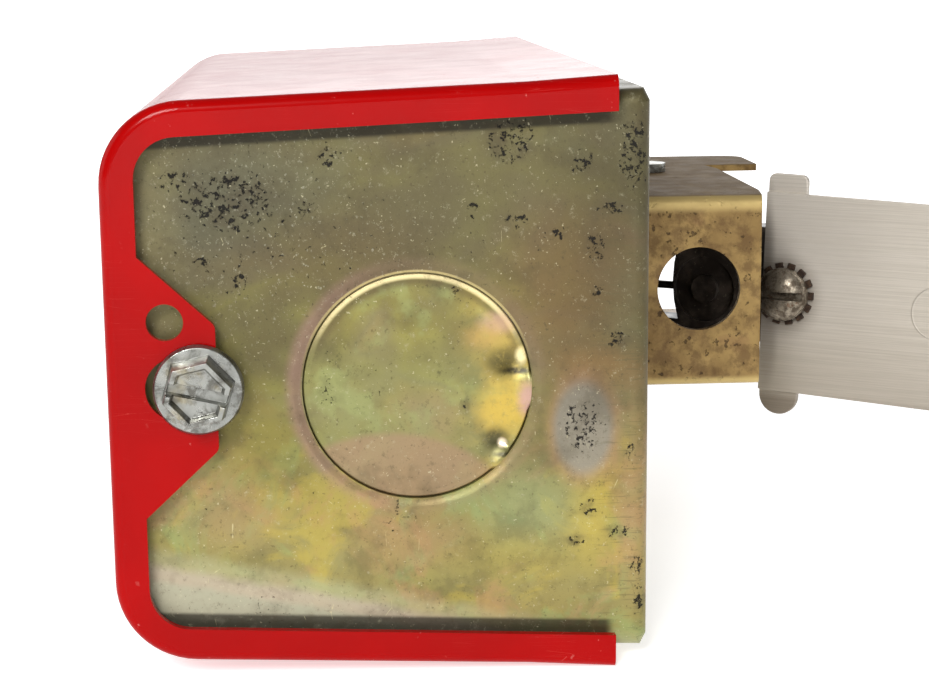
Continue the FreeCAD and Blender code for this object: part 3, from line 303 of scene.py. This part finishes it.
def makeYellowZinc():
    # film tone = slow noise tone, mixed in turn with painted reflections above and below, tints, foot bands of
    # painted reflection, halo with a painted rim highlight, a painted shadow line under the lips, painted shade
    # at the top and pits
    look = Finish("yellowChromateZinc")
    film = zincColour(look)
    height = look.axis("Z")
    reach = look.axis("X")
    # painted reflections: the upper part is darker and the lower part lighter
    wavy = look.math("ADD", height, look.math("MULTIPLY", look.noise(12, detail=4, shift=31), 12.0))
    film = look.mix(look.step(wavy, 10.0, 20.0, 0.0, 0.62), film, colour(118, 110, 80))
    low = look.step(wavy, 9.0, -2.0)
    film = look.mix(look.math("MULTIPLY", low, 0.6), film, colour(158, 148, 86))
    # rose, straw and green clouds in the lower part
    for shift, tone, share in ((5, (192, 172, 78), 0.62), (17, (150, 166, 104), 0.6),
                               (29, (184, 142, 100), 0.55)):
        cloud = look.step(look.noise(7.5, detail=5, rough=0.6, twist=0.7, shift=shift), 0.5, 0.64, 0.0,
                          share)
        film = look.mix(look.math("MULTIPLY", cloud, low), film, colour(*tone))
    for across, up, wide, tall, share, tone in wall["tints"]:
        cloud = look.math("MULTIPLY", look.spot((across, -52, up), (wide, 4, tall), 0.75), share)
        film = look.mix(cloud, film, colour(*tone))
    # a pale band along the bottom edge with a rose line and a green one above it: a painted reflection along
    # the bottom bend
    foot = look.math("ADD", look.math("ADD", height, look.math("MULTIPLY", reach, 0.22)),
                     look.math("MULTIPLY", look.noise(6, detail=3, shift=12), 1.6))
    film = look.mix(look.step(foot, -25.0, -26.8, 0.0, 0.6), film, colour(178, 176, 134))
    film = look.mix(look.step(foot, -26.8, -28.2, 0.0, 0.7), film, colour(192, 176, 158))
    film = look.mix(look.step(foot, -28.6, -29.6, 0.0, 0.6), film, colour(172, 176, 150))
    # rose halo round the knockout, brighter at the top: a painted highlight where the pushed-over edge catches
    # the light
    flat = look.vector("MULTIPLY", look.vector("SUBTRACT", look.place, wall["knock"]), (1, 0, 1))
    radius = look.vector("LENGTH", flat)
    halo = look.math("MULTIPLY", look.step(radius, 11.0, 11.4), look.step(radius, 11.9, 13.2, 1.0, 0.0))
    film = look.mix(look.math("MULTIPLY", halo, look.step(reach, -24.0, -34.0, 0.15, 0.6)), film,
                    colour(182, 140, 130))
    rimHighlight = look.math("MULTIPLY", look.step(radius, 11.12, 11.18),
                       look.step(radius, 11.3, 11.42, 1.0, 0.0))
    film = look.mix(look.math("MULTIPLY", rimHighlight, look.step(height, 1.0, 8.0, 0.0, 0.85)), film,
                    colour(228, 206, 140))
    across, up, wide, tall = wall["greyPatch"]
    film = look.mix(look.math("MULTIPLY", look.spot((across, -52, up), (wide * 1.25, 4, tall * 1.2), 0.25),
                              0.6),
                    film, colour(196, 152, 118))
    film = look.mix(look.math("MULTIPLY", look.spot((across, -52, up), (wide, 4, tall), 0.2), 0.85),
                    film, colour(162, 158, 142))
    # painted shadow: a dark line on the wall where the upper and lower lips of the cover shade it
    under = look.math("SUBTRACT", look.math("ABSOLUTE", height), look.math("MULTIPLY", reach, 0.046))
    above = look.math("GREATER_THAN", height, 0.0)
    start = look.math("ADD", 24.6, look.math("MULTIPLY", above, -0.2))
    darkening = look.math("MULTIPLY", look.step(look.math("SUBTRACT", under, start), 0.0, 0.45),
                     look.step(reach, -3.2, -4.4))
    darkening = look.math("MULTIPLY", darkening, look.step(look.noise(1.6, detail=4, shift=35), 0.2, 0.45, 0.55,
                                                 0.82))
    endWall = look.step(look.math("ABSOLUTE", look.axis("Y")), 51.2, 51.7)
    darkening = look.math("MULTIPLY", darkening, endWall)
    film = look.mix(darkening, film, colour(38, 36, 26))
    crystal = look.math("MULTIPLY", look.step(look.noise(0.5, detail=4, rough=0.7, shift=23), 0.6, 0.68),
                        look.spot((-37, -52, 15), (13, 4, 10), 0.8))
    film = look.mix(look.math("MULTIPLY", crystal, 0.6), film, colour(206, 204, 178))
    # painted shade: the upper part and the edge by the mounting face are darker
    film = look.mix(look.step(wavy, -14.0, 4.0, 0.15, 0.43), film, colour(20, 14, 8))
    edgeShade = look.math("MULTIPLY", look.step(reach, -13.0, -4.0), look.step(height, -5.0, 0.0))
    film = look.mix(look.math("MULTIPLY", edgeShade, 0.3), film, colour(50, 40, 26))
    groups = look.step(look.noise(9, detail=2, shift=44), 0.56, 0.7, 0.0, 0.5)
    groups = look.math("MAXIMUM", groups, look.math("MULTIPLY", look.spot((-37, -52, 15), (13, 4, 10), 0.8),
                                                    0.5))
    for across, up, wide, tall in wall["pits"]:
        groups = look.math("MAXIMUM", groups, look.spot((across, -52, up), (wide, 3, tall), 0.5))
    film, pits = addPits(look, film, groups)
    # faint rubbing lines near the right edge and a few pale hairs
    rub = look.noise(0.35, detail=2, stretch=(9, 1, 0.6), shift=5)
    right = look.math("MULTIPLY", look.step(reach, -7.0, -3.0), look.step(rub, 0.56, 0.66, 0.0, 0.35))
    film = look.mix(right, film, colour(84, 80, 54))
    hair = look.cells(9, stretch=(0.5, 1, 1.4), feature="DISTANCE_TO_EDGE", shift=6)
    thin = look.math("MULTIPLY", look.step(hair, 0.0, 0.005, 1.0, 0.0),
                     look.step(look.noise(2.2, shift=71), 0.6, 0.66))
    film = look.mix(look.math("MULTIPLY", thin, 0.55), film, colour(216, 206, 160))
    rough = look.step(look.noise(5, detail=5, shift=80), 0.3, 0.7, 0.36, 0.5)
    rough = look.math("ADD", rough, look.math("MULTIPLY", pits, 0.3))
    rim = look.step(radius, 11.1, 12.1, -1.0, 0.0)
    look.bump((0.22, rim), (0.05, look.noise(7, detail=2, shift=15)),
              (0.03, look.noise(0.7, detail=6, rough=0.75)),
              (0.07, look.math("SUBTRACT", 1.0, pits)))
    return look.set(colour=film, metal=0.5, rough=rough, level=0.5)


def makeKnockoutZinc():
    # film tone = slow noise tone, mixed with green and gold clouds, a rose field and the tie colours
    look = Finish("knockoutZinc")
    film = zincColour(look)
    film = look.mix(0.2, film, colour(20, 16, 8))
    height = look.axis("Z")
    reach = look.axis("X")
    flat = look.vector("MULTIPLY", look.vector("SUBTRACT", look.place, wall["knock"]), (1, 0, 1))
    radius = look.vector("LENGTH", flat)
    wavy = look.math("ADD", height, look.math("MULTIPLY", look.noise(9, detail=4, shift=27), 5.0))
    film = look.mix(look.step(wavy, 8.0, 3.0, 0.0, 0.55), film, colour(130, 130, 82))
    green = look.step(look.noise(5, detail=4, shift=61), 0.5, 0.62, 0.0, 0.55)
    film = look.mix(green, film, colour(142, 148, 94))
    gold = look.math("MULTIPLY", look.step(reach, -20.0, -13.0),
                     look.step(look.noise(4, detail=4, shift=70), 0.4, 0.6))
    film = look.mix(look.math("MULTIPLY", gold, 0.65), film, colour(202, 172, 86))
    # a rose field with a curved upper edge fills the lower part
    arch = look.vector("MULTIPLY", look.vector("SUBTRACT", look.place, (-25.5, -52.0, -14.0)), (0.72, 0, 1))
    rose = look.step(look.vector("LENGTH", arch), 8.2, 9.2, 0.85, 0.0)
    film = look.mix(look.math("MULTIPLY", rose, 0.8), film, colour(150, 120, 96))
    # a bright crescent on the upper rim of the slug, edge wear and a painted highlight, with painted shade just
    # inside it
    crest = look.math("MULTIPLY", look.step(radius, 10.3, 10.7), look.step(height, 2.0, 8.0, 0.0, 0.9))
    film = look.mix(crest, film, colour(232, 214, 160))
    shade = look.math("MULTIPLY", look.step(radius, 9.5, 10.2), look.step(radius, 10.3, 10.5, 1.0, 0.0))
    film = look.mix(look.math("MULTIPLY", shade, look.step(height, 0.0, 7.0, 0.1, 0.55)), film,
                    colour(86, 72, 50))
    groups = look.step(look.noise(7, detail=2, shift=14), 0.55, 0.7, 0.0, 0.5)
    groups = look.math("MAXIMUM", groups, look.spot((-18.0, -52, -2.3), (0.6, 3, 1.2), 0.5))
    film, pits = addPits(look, film, groups)
    # slug colours, and the painted shadows and highlights of the dimples
    for across, up, wide, tall, share, tone in wall["slugTints"]:
        cloud = look.spot((across, -52, up), (wide, 3, tall), 0.6)
        broken = look.step(look.noise(0.7, detail=5, rough=0.7, shift=up), 0.3, 0.52, 0.55, 1.0)
        film = look.mix(look.math("MULTIPLY", look.math("MULTIPLY", cloud, broken), share), film,
                        colour(*tone))
    rough = look.step(look.noise(5, detail=5, shift=8), 0.3, 0.7, 0.3, 0.44)
    look.bump((0.05, look.noise(6, detail=2, shift=15)), (0.02, look.noise(0.7, detail=4)),
              (0.07, look.math("SUBTRACT", 1.0, pits)))
    return look.set(colour=film, metal=0.55, rough=rough, level=0.5)


def makeBrassyZinc():
    # gold tone by a slow noise, stained and spotted, with painted highlights on the bends and a top painted
    # darker and made rougher
    look = Finish("goldZinc")
    slow = look.noise(7, detail=4, twist=0.4)
    film = look.ramp(slow, [(0.30, colour(136, 108, 66)), (0.48, colour(158, 130, 80)),
                            (0.60, colour(178, 148, 92)),
                            (0.72, colour(150, 114, 78))])
    stains = look.step(look.noise(2.4, detail=6, rough=0.7, shift=5), 0.42, 0.62)
    film = look.mix(look.math("MULTIPLY", stains, 0.68), film, colour(98, 74, 46))
    spots = look.step(look.noise(0.8, detail=4, shift=18), 0.62, 0.68)
    film = look.mix(look.math("MULTIPLY", spots, 0.75), film, colour(52, 40, 28))
    # painted highlights on the two bends
    height = look.axis("Z")
    bendHighlights = look.math("MAXIMUM", look.step(height, 10.4, 11.6), look.step(height, -8.6, -9.4))
    front = look.step(look.axis("Y"), -6.6, -7.4)
    film = look.mix(look.math("MULTIPLY", look.math("MULTIPLY", bendHighlights, front), 0.85), film,
                    colour(232, 204, 134))
    # painted shade: the top face is darker, to hold down the light it catches; it is also rougher
    top = look.step(height, 12.45, 12.58)
    film = look.mix(look.math("MULTIPLY", top, 0.8), film, colour(124, 108, 84))
    film = look.mix(0.34, film, colour(70, 48, 24))
    rough = look.step(look.noise(3, detail=5, shift=8), 0.3, 0.7, 0.3, 0.48)
    rough = look.math("ADD", rough, look.math("MULTIPLY", top, 0.4))
    look.bump((0.04, look.noise(4, detail=2)), (0.03, look.noise(0.6, detail=4, shift=4)),
              (0.05, look.math("SUBTRACT", 1.0, spots)))
    return look.set(colour=film, metal=0.6, rough=rough, level=0.5)


def makeBrightZinc():
    # pale zinc mixed with grime and a yellow cast where their noises pass a limit
    look = Finish("brightZinc")
    grime = look.step(look.noise(1.6, detail=6, rough=0.7, twist=0.5), 0.44, 0.64)
    film = look.mix(look.noise(4, shift=9), colour(122, 124, 120), colour(172, 172, 166))
    film = look.mix(look.math("MULTIPLY", grime, 0.7), film, colour(66, 62, 54))
    yellow = look.step(look.noise(3.5, detail=3, shift=21), 0.55, 0.7)
    film = look.mix(look.math("MULTIPLY", yellow, 0.35), film, colour(172, 156, 110))
    rough = look.step(look.noise(2, detail=5, shift=8), 0.3, 0.7, 0.2, 0.42)
    look.bump((0.05, look.noise(1.4, detail=4)), (0.015, look.noise(0.3, detail=3)))
    return look.set(colour=film, metal=0.92, rough=rough, level=0.5)


pressedRing = {"centre": (43.75, -0.1, -3.1), "radius": 3.35}


def makeStainless(name, tone, darker):
    # tone to darker by grain noise, then stains and painted shadows whose share falls with distance over half
    # size
    look = Finish(name)
    # the brushed grain runs along the arm, so it is far finer up and down than along
    place = look.place
    turn = look.add("ShaderNodeVectorRotate", rotation_type="Z_AXIS")
    look.put(turn.inputs["Vector"], look.place)
    turn.inputs["Angle"].default_value = math.radians(34.2)
    look.place = turn.outputs["Vector"]
    grain = look.noise(1.0, detail=4, rough=0.7, stretch=(14, 14, 0.16))
    cloudy = look.noise(16, detail=4, shift=6)
    film = look.mix(look.step(grain, 0.3, 0.7), tone, darker)
    film = look.mix(look.step(cloudy, 0.4, 0.7, 0.0, 0.3), film, darker)
    specks = look.step(look.noise(0.9, detail=5, rough=0.7, shift=13), 0.69, 0.73)
    film = look.mix(look.math("MULTIPLY", specks, 0.4), film, colour(120, 108, 92))
    # grime round the screw, a painted shadow of the bracket along the root and a browner lower tab
    for centre, half, share, darkening in ((27.2, 11.1, -2.2), (4.6, 4.6, 5.0), 0.6, (92, 80, 64)), \
            ((24.9, 12.7, 3.2), (1.5, 1.5, 9.0), 0.62, (92, 84, 76)), ((25.2, 12.4, -8.5), (1.6, 1.6, 6.0),
                                                                       0.4, (100, 90, 80)):
        stainAndShade = look.step(look.vector("LENGTH",
                                      look.vector("DIVIDE", look.vector("SUBTRACT", place, centre), half)),
                          0.55, 1.25, share, 0.0)
        film = look.mix(stainAndShade, film, colour(*darkening))
    lower = look.add("ShaderNodeSeparateXYZ")
    look.put(lower.inputs[0], place)
    film = look.mix(look.step(lower.outputs["Z"], -14.2, -16.0, 0.0, 0.6), film, colour(104, 90, 74))
    film = look.mix(look.step(lower.outputs["Z"], 0.0, -15.0, 0.0, 0.35), film, colour(116, 104, 90))
    # a faint ring pressed into the blade
    ring = look.vector("LENGTH", look.vector("SUBTRACT", place, pressedRing["centre"]))
    line = look.math("MULTIPLY", look.step(ring, pressedRing["radius"] - 0.16, pressedRing["radius"]),
                     look.step(ring, pressedRing["radius"], pressedRing["radius"] + 0.16, 1.0, 0.0))
    film = look.mix(look.math("MULTIPLY", line, 0.5), film, colour(140, 132, 122))
    rough = look.step(grain, 0.3, 0.7, 0.46, 0.6)
    look.bump((0.008, grain), (0.03, line), (0.05, look.noise(22, detail=2, shift=2)))
    return look.set(colour=film, metal=0.55, rough=rough, level=0.5)


def makeWornSteel():
    # pale to dark steel by a blotch noise, with rust where a second noise passes a limit
    look = Finish("wornSteel")
    blotch = look.step(look.noise(0.9, detail=6, rough=0.7), 0.4, 0.62)
    film = look.mix(blotch, colour(150, 140, 124), colour(84, 74, 62))
    rust = look.step(look.noise(0.6, detail=5, shift=8), 0.58, 0.68)
    film = look.mix(look.math("MULTIPLY", rust, 0.6), film, colour(92, 58, 36))
    look.bump((0.06, look.noise(0.8, detail=5)), (0.02, look.noise(0.2, detail=3)))
    return look.set(colour=film, metal=0.75, rough=look.step(blotch, 0.0, 1.0, 0.3, 0.5), level=0.5)


def makeRust():
    # three browns read off a blotch noise
    look = Finish("brownOxide")
    blotch = look.noise(0.7, detail=6, rough=0.7)
    film = look.ramp(blotch, [(0.3, colour(30, 22, 17)), (0.5, colour(52, 38, 28)),
                              (0.68, colour(86, 66, 48))])
    look.bump((0.08, blotch), (0.03, look.noise(0.18, detail=3)))
    return look.set(colour=film, metal=0.35, rough=look.step(blotch, 0.3, 0.7, 0.5, 0.75), level=0.4)


def makeMoulding(name, dark, pale, gloss):
    # dark plastic mixed with pale dust at half the share of a dust noise
    look = Finish(name)
    dust = look.step(look.noise(2.8, detail=6, rough=0.7), 0.42, 0.68)
    film = look.mix(look.math("MULTIPLY", dust, 0.5), dark, pale)
    specks = look.step(look.noise(0.45, detail=3, shift=6), 0.66, 0.7)
    film = look.mix(look.math("MULTIPLY", specks, 0.4), film, colour(150, 140, 124))
    rough = look.step(look.noise(2, detail=5, shift=3), 0.3, 0.7, gloss, gloss + 0.2)
    look.bump((0.03, look.noise(1.8, detail=3)), (0.012, look.noise(0.25, detail=3)))
    return look.set(colour=film, metal=0.0, rough=rough, level=0.5)


def makeMetal(name, pale, dark, roughLow):
    # pale to dark by a blotch noise, with drawn lines from a noise stretched along X
    look = Finish(name)
    blotch = look.step(look.noise(1.8, detail=6, rough=0.65, twist=0.4), 0.38, 0.66)
    film = look.mix(blotch, pale, dark)
    drawn = look.noise(0.5, detail=3, stretch=(8, 1, 1), shift=4)
    film = look.mix(look.step(drawn, 0.4, 0.7, 0.0, 0.25), film, dark)
    look.bump((0.02, drawn), (0.03, look.noise(1.2, detail=4)))
    return look.set(colour=film, metal=0.88, rough=look.step(blotch, 0.0, 1.0, roughLow, roughLow + 0.2),
                    level=0.5)


def makeBoard():
    # two greys by a fibre noise stretched along X
    look = Finish("greyFibreBoard")
    fibre = look.noise(0.8, detail=6, rough=0.7, stretch=(5, 1, 1))
    film = look.mix(look.step(fibre, 0.3, 0.7), colour(138, 138, 140), colour(160, 159, 156))
    film = look.mix(look.step(look.noise(9, shift=5), 0.5, 0.7, 0.0, 0.3), film, colour(120, 112, 100))
    look.bump((0.03, fibre), (0.02, look.noise(0.3, detail=3)))
    return look.set(colour=film, metal=0.0, rough=look.step(fibre, 0.3, 0.7, 0.75, 0.92), level=0.3)


finishes = {
    "red_paint": makeRedPaint(),
    "yellow_zinc": makeYellowZinc(),
    "brassy_zinc": makeBrassyZinc(),
    "bright_zinc": makeBrightZinc(),
    "stainless": makeStainless("brushedStainless", colour(214, 206, 195), colour(190, 182, 170)),
    "stainless_screw": makeWornSteel(),
    "rusty_washer": makeRust(),
    "dark_wire": makeMetal("darkWire", colour(86, 84, 80), colour(46, 42, 38), 0.3),
    "black_moulding": makeMoulding("blackMoulding", colour(46, 41, 37), colour(104, 94, 84), 0.28),
    "spring_wire": makeMetal("springSteel", colour(150, 148, 142), colour(96, 90, 80), 0.25),
    "switch_black": makeMoulding("switchMoulding", colour(26, 26, 28), colour(52, 50, 48), 0.2),
    "plunger_red": makeMoulding("redButton", colour(150, 30, 24), colour(120, 40, 34), 0.25),
    "terminal_brass": makeMetal("terminalBrass", colour(206, 176, 110), colour(150, 118, 66), 0.25),
    "green_screw": makeMetal("greenScrew", colour(44, 122, 62), colour(26, 78, 40), 0.28),
    "grey_board": makeBoard(),
}
knockoutFinish = makeKnockoutZinc()

for name, item in nodes.items():
    for number, old in enumerate(item.data.materials):
        key = old.name.split(".")[0]
        item.data.materials[number] = knockoutFinish if "knockout" in name else finishes[key]
print("finishes:", len(finishes) + 1)


def pieceFrom(name, mesh, body, slot, material, *stoodFor):
    # object = mesh with one material, riding on a body and standing for the named nodes
    mesh.materials.append(material)
    piece = bpy.data.objects.new(name, mesh)
    scene.collection.objects.link(piece)
    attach(piece, body)
    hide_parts(*stoodFor)
    return piece


softEdges = {
    # node: bevel width in millimetres
    "paddle_screw": 0.2, "lock_washer": 0.1,
    "arm_bracket": 0.1, "arm_hub": 0.35, "backing_strip": 0.12, "paddle": 0.08, "pivot_pin": 0.2,
    "ground_screw": 0.2, "switch_case": 0.3, "switch_lid_plate": 0.25, "switch_bracket": 0.1,
    "range_screw": 0.2, "range_stop": 0.25, "switch_terminals": 0.12, "switch_screws": 0.15,
    "switch_bracket_screws": 0.15,
}


def softenNode(name, width):
    # the same shape with its loose triangles joined, and every edge sharper than 28 degrees
    # rounded to the width
    node = nodes[name]
    shape = bmesh.new()
    shape.from_mesh(node.data)
    bmesh.ops.remove_doubles(shape, verts=shape.verts, dist=2e-6)
    bmesh.ops.dissolve_limit(shape, angle_limit=math.radians(0.5), verts=shape.verts, edges=shape.edges)
    sharp = math.radians(28)
    for edge in shape.edges:
        edge.smooth = edge.is_manifold and edge.calc_face_angle(0) < sharp
    for face in shape.faces:
        face.smooth = True
    mesh = bpy.data.meshes.new(f"{name}_soft")
    shape.to_mesh(mesh)
    shape.free()
    material = node.data.materials[0]
    slot = next(key for key, value in finishes.items() if value == material)
    piece = pieceFrom(f"{name}_soft", mesh, node["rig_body"], slot, material, name)
    bevel = piece.modifiers.new("edges", "BEVEL")
    bevel.width = width / 1000
    bevel.segments = 3
    bevel.limit_method = "ANGLE"
    bevel.angle_limit = sharp
    bevel.harden_normals = True
    bevel.use_clamp_overlap = True


def discFaces(rings, spokes):
    # quads between neighbouring rings and spokes on two sheets, then a rim that joins their last rings
    grid = np.arange(rings * spokes).reshape(rings, spokes)
    ahead = np.roll(grid, -1, 1)
    quads = np.stack([grid[:-1], ahead[:-1], ahead[1:], grid[1:]], -1).reshape(-1, 4)
    rim = np.stack([grid[-1], ahead[-1], ahead[-1] + grid.size, grid[-1] + grid.size], -1)
    return np.concatenate([quads[:, ::-1], quads + grid.size, rim[:, ::-1]])


slug = {
    "wallFace": 0.052,
    "radius": 0.01103,
    # where the slug still joins the wall: middle and half width in degrees, then the reach into the wall
    "ties": [(-3.5, 9.0), (-43.0, 6.0)],
    "tieReach": 0.00016,
    "tieStart": 0.0092,
    "tieSlope": 0.0016,
    "tieDrop": 0.00002,
    "thick": 0.0012,
    "sink": 0.00035,
    "rings": 110,
    "spokes": 260,
    "roll": 0.00014,
}


def makeSlug(name, side):
    # front depth = rolled rim + two gaussian dimples; the back follows the front one sheet further in
    share = np.linspace(0, 1, slug["rings"])[:, None]
    turn = np.linspace(0, 2 * np.pi, slug["spokes"], endpoint=False)[None, :]
    degrees = (np.degrees(turn) + 180) % 360 - 180
    tied = sum(np.exp(-((degrees - middle) / half) ** 6) for middle, half in slug["ties"])
    radius = (slug["radius"] + slug["tieReach"] * tied) * share ** 0.9
    across = radius * np.cos(turn)
    up = radius * np.sin(turn)
    edge = np.clip((radius - slug["radius"] + slug["roll"]) / slug["roll"], 0, 1)
    ramp = np.clip((radius - slug["tieStart"]) / slug["tieSlope"], 0, 1)
    raised = (slug["sink"] - slug["tieDrop"]) * tied * ramp ** 2
    depth = slug["roll"] * (1 - np.sqrt(1 - edge ** 2)) * (1 - tied) - raised
    middle = np.array(wall["knock"]) / 1000
    for centre, size, deep in wall["dimples"]:
        gap = np.hypot(across - centre[0] / 1000 + middle[0], up - centre[2] / 1000 + middle[2])
        depth = depth + deep / 1000 * np.exp(-(gap / (size / 1000)) ** 2)
    wallFace = slug["wallFace"] - slug["sink"]
    front = np.stack([across + middle[0], side * (wallFace - depth), up + middle[2]], -1)
    back = np.stack([across + middle[0], side * (wallFace - slug["thick"] - depth * 0.6), up + middle[2]],
                    -1)
    faces = discFaces(slug["rings"], slug["spokes"])
    if side > 0:
        faces = faces[:, ::-1]
    mesh = bpy.data.meshes.new(f"{name}_slug")
    mesh.from_pydata(np.concatenate([front.reshape(-1, 3), back.reshape(-1, 3)]), [], faces.tolist())
    shape = bmesh.new()
    shape.from_mesh(mesh)
    bmesh.ops.remove_doubles(shape, verts=shape.verts, dist=1e-7)
    bmesh.ops.recalc_face_normals(shape, faces=shape.faces)
    shape.to_mesh(mesh)
    shape.free()
    mesh.shade_smooth()
    pieceFrom(f"{name}_slug", mesh, "case", "yellow_zinc", knockoutFinish, name)


screwHead = {
    "slope": 0.32,
    "hollowSlope": 0.3,
    "slotSlope": 0.15,
    "edge": 0.3,
    "wave": 0.035,
    "underHead": 7.0,
    "shankRadius": 0.00208,
    "shankLong": 0.0071,
    "shankMiddle": 3.45,
    "washer": 4.3,
    "washerThick": 0.9,
    "flat": 3.12,
    "tall": 3.5,
    "rim": 0.42,
    "hollow": 0.95,
    "slotHalf": 0.5,
    "slotFloor": 1.75,
    "slotTurn": -13.0,
    "hexTurn": 47.0,
    "rings": 128,
    "spokes": 300,
}


def rise(value, low, high):
    # smooth step = share squared times (3 minus twice the share)
    part = np.clip((value - low) / (high - low), 0, 1)
    return part * part * (3 - 2 * part)


def makeScrewHead(name, side):
    # height = washer + (tall - washer) inside the flats - the hollow inside the rim, cut down to the slot floor
    head = screwHead
    share = np.linspace(0, 1, head["rings"])[:, None]
    turn = np.linspace(0, 2 * np.pi, head["spokes"], endpoint=False)[None, :]
    radius = head["washer"] * share
    across = radius * np.cos(turn)
    up = radius * np.sin(turn)
    sixth = np.pi / 3
    flat = radius * np.cos((turn + math.radians(head["hexTurn"])) % sixth - sixth / 2)

    flank = head["slope"] - head["flat"]
    body = rise(-flat, -head["flat"], flank)
    hollow = rise(-flat, flank + head["rim"], flank + head["rim"] + head["hollowSlope"])
    height = head["washerThick"] + (head["tall"] - head["washerThick"]) * body - head["hollow"] * hollow
    lean = math.radians(head["slotTurn"])
    cross = np.abs(-across * math.sin(lean) + up * math.cos(lean))
    wide = -head["slotHalf"] - 0.1
    slot = rise(-cross, wide, wide + head["slotSlope"]) * body
    height = height - slot * np.clip(height - head["slotFloor"], 0, None)
    height = height - 0.45 * head["washerThick"] * rise(radius, head["washer"] - head["edge"],
                                                        head["washer"]) ** 2
    height = height + head["wave"] * np.sin(across * 3.1 + 1) * np.cos(up * 2.7)
    height = np.minimum(height, head["tall"])
    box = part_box(name)
    middle = [(box[0][axis] + box[1][axis]) * 500 for axis in (0, 2)]
    seat = min(abs(box[0][1]), abs(box[1][1])) * 1000 + head["underHead"]
    place = [across + middle[0], side * (seat + height), up * np.ones_like(across) + middle[1]]
    top = np.stack([value / 1000 for value in place], -1)
    under = top.copy()
    under[..., 1] = side * seat / 1000
    faces = discFaces(head["rings"], head["spokes"])
    mesh = bpy.data.meshes.new(f"{name}_head")
    mesh.from_pydata(np.concatenate([top.reshape(-1, 3), under.reshape(-1, 3)]), [], faces.tolist())
    shape = bmesh.new()
    shape.from_mesh(mesh)
    thick = head["shankRadius"]
    shank = bmesh.ops.create_cone(shape, cap_ends=True, segments=64, radius1=thick, radius2=thick,
                                  depth=head["shankLong"])
    centre = Vector((middle[0] / 1000, side * (seat - head["shankMiddle"]) / 1000, middle[1] / 1000))
    moved = Matrix.Translation(centre) @ Matrix.Rotation(math.radians(90), 4, "X")
    bmesh.ops.transform(shape, matrix=moved, verts=shank["verts"])
    bmesh.ops.remove_doubles(shape, verts=shape.verts, dist=1e-7)
    bmesh.ops.recalc_face_normals(shape, faces=shape.faces)
    shape.to_mesh(mesh)
    shape.free()
    mesh.shade_smooth()
    pieceFrom(f"{name}_head", mesh, nodes[name]["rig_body"], "bright_zinc", finishes["bright_zinc"], name)


for name, width in softEdges.items():
    softenNode(name, width)
makeScrewHead("cover_screw_near", -1)
makeScrewHead("cover_screw_far", 1)
makeSlug("knockout_near", -1)
makeSlug("knockout_far", 1)
print("softened pieces:", len(softEdges), "with two screw heads and two knockout slugs")


view = {
    "place": (-0.031311, -0.255801, 0.039336),
    "turn": (77.9865, 0.348, -4.7123),
    "lens": 83.441,
    "shift": (-0.03671, 0.07592),
}


def makeCamera():
    # camera pose and lens straight from the view settings
    data = bpy.data.cameras.new("camera")
    data.sensor_width = 36
    data.lens = view["lens"]
    data.shift_x, data.shift_y = view["shift"]
    data.clip_start = 0.01
    data.dof.use_dof = False
    camera = bpy.data.objects.new("camera", data)
    camera.location = view["place"]
    camera.rotation_euler = [math.radians(angle) for angle in view["turn"]]
    scene.collection.objects.link(camera)
    scene.camera = camera


floorPlan = {
    "halfSize": 12.0,
    # millimetres from the middle where the glow starts to rise and where it is white
    "fade": (260.0, 620.0),
}


def makeFloor():
    # floor height = the lowest corner of the bounds; its glow rises to white with distance
    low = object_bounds()[0][2]
    size = floorPlan["halfSize"]
    corners = [(-size, -size, low), (size, -size, low), (size, size, low), (-size, size, low)]
    mesh = bpy.data.meshes.new("floor")
    mesh.from_pydata(corners, [], [(0, 1, 2, 3)])
    floor = bpy.data.objects.new("floor", mesh)
    look = Finish("paleFloor")
    far = look.step(look.vector("LENGTH", look.place), *floorPlan["fade"])
    tone = look.mix(look.noise(40, detail=3), (0.88, 0.88, 0.88), (0.91, 0.91, 0.91))
    look.put(look.shader.inputs["Emission Color"], look.mix(far, (0.62, 0.62, 0.62), (1.0, 1.0, 1.0)))
    look.shader.inputs["Emission Strength"].default_value = 1.0
    mesh.materials.append(look.set(colour=tone, metal=0.0, rough=0.7))
    scene.collection.objects.link(floor)


lamps = {
    # name: place, where it points, width, height, watts
    "keyAbove": ((-0.34, -1.02, 0.58), (0, 0, 0), 0.32, 0.32, 11.5),
    "fillFront": ((0.35, -1.1, 0.25), (0, 0, 0), 0.9, 0.5, 1.6),
    "backCard": ((0.0, 1.6, 0.55), (0, 0, 0), 2.6, 0.9, 16),
    "sideCard": ((-1.1, 0.1, 0.35), (0, 0, 0), 0.7, 0.7, 2.2),
}


def makeLight(name, place, aim, width, height, watts):
    # the lamp faces along aim minus place
    data = bpy.data.lights.new(name, "AREA")
    data.shape = "RECTANGLE"
    data.size = width
    data.size_y = height
    data.energy = watts
    lamp = bpy.data.objects.new(name, data)
    lamp.location = place
    away = lamp.location - Vector(aim)
    lamp.rotation_euler = away.to_track_quat("Z", "Y").to_euler()
    lamp.visible_glossy = name != "fillFront"
    scene.collection.objects.link(lamp)


makeCamera()
makeFloor()
for name, settings in lamps.items():
    makeLight(name, *settings)
world = bpy.data.worlds.new("studio")
world.use_nodes = True
sky = world.node_tree
background = sky.nodes["Background"]
background.inputs["Color"].default_value = (1, 1, 1, 1)
# the backdrop looks white, while the light it sheds is softer
rays = sky.nodes.new("ShaderNodeLightPath")
glow = sky.nodes.new("ShaderNodeMapRange")
glow.inputs["To Min"].default_value = 0.28
glow.inputs["To Max"].default_value = 1.0
sky.links.new(rays.outputs["Is Camera Ray"], glow.inputs["Value"])
sky.links.new(glow.outputs["Result"], background.inputs["Strength"])
scene.world = world
scene.view_settings.view_transform = "Standard"
print("camera, floor and lights made")
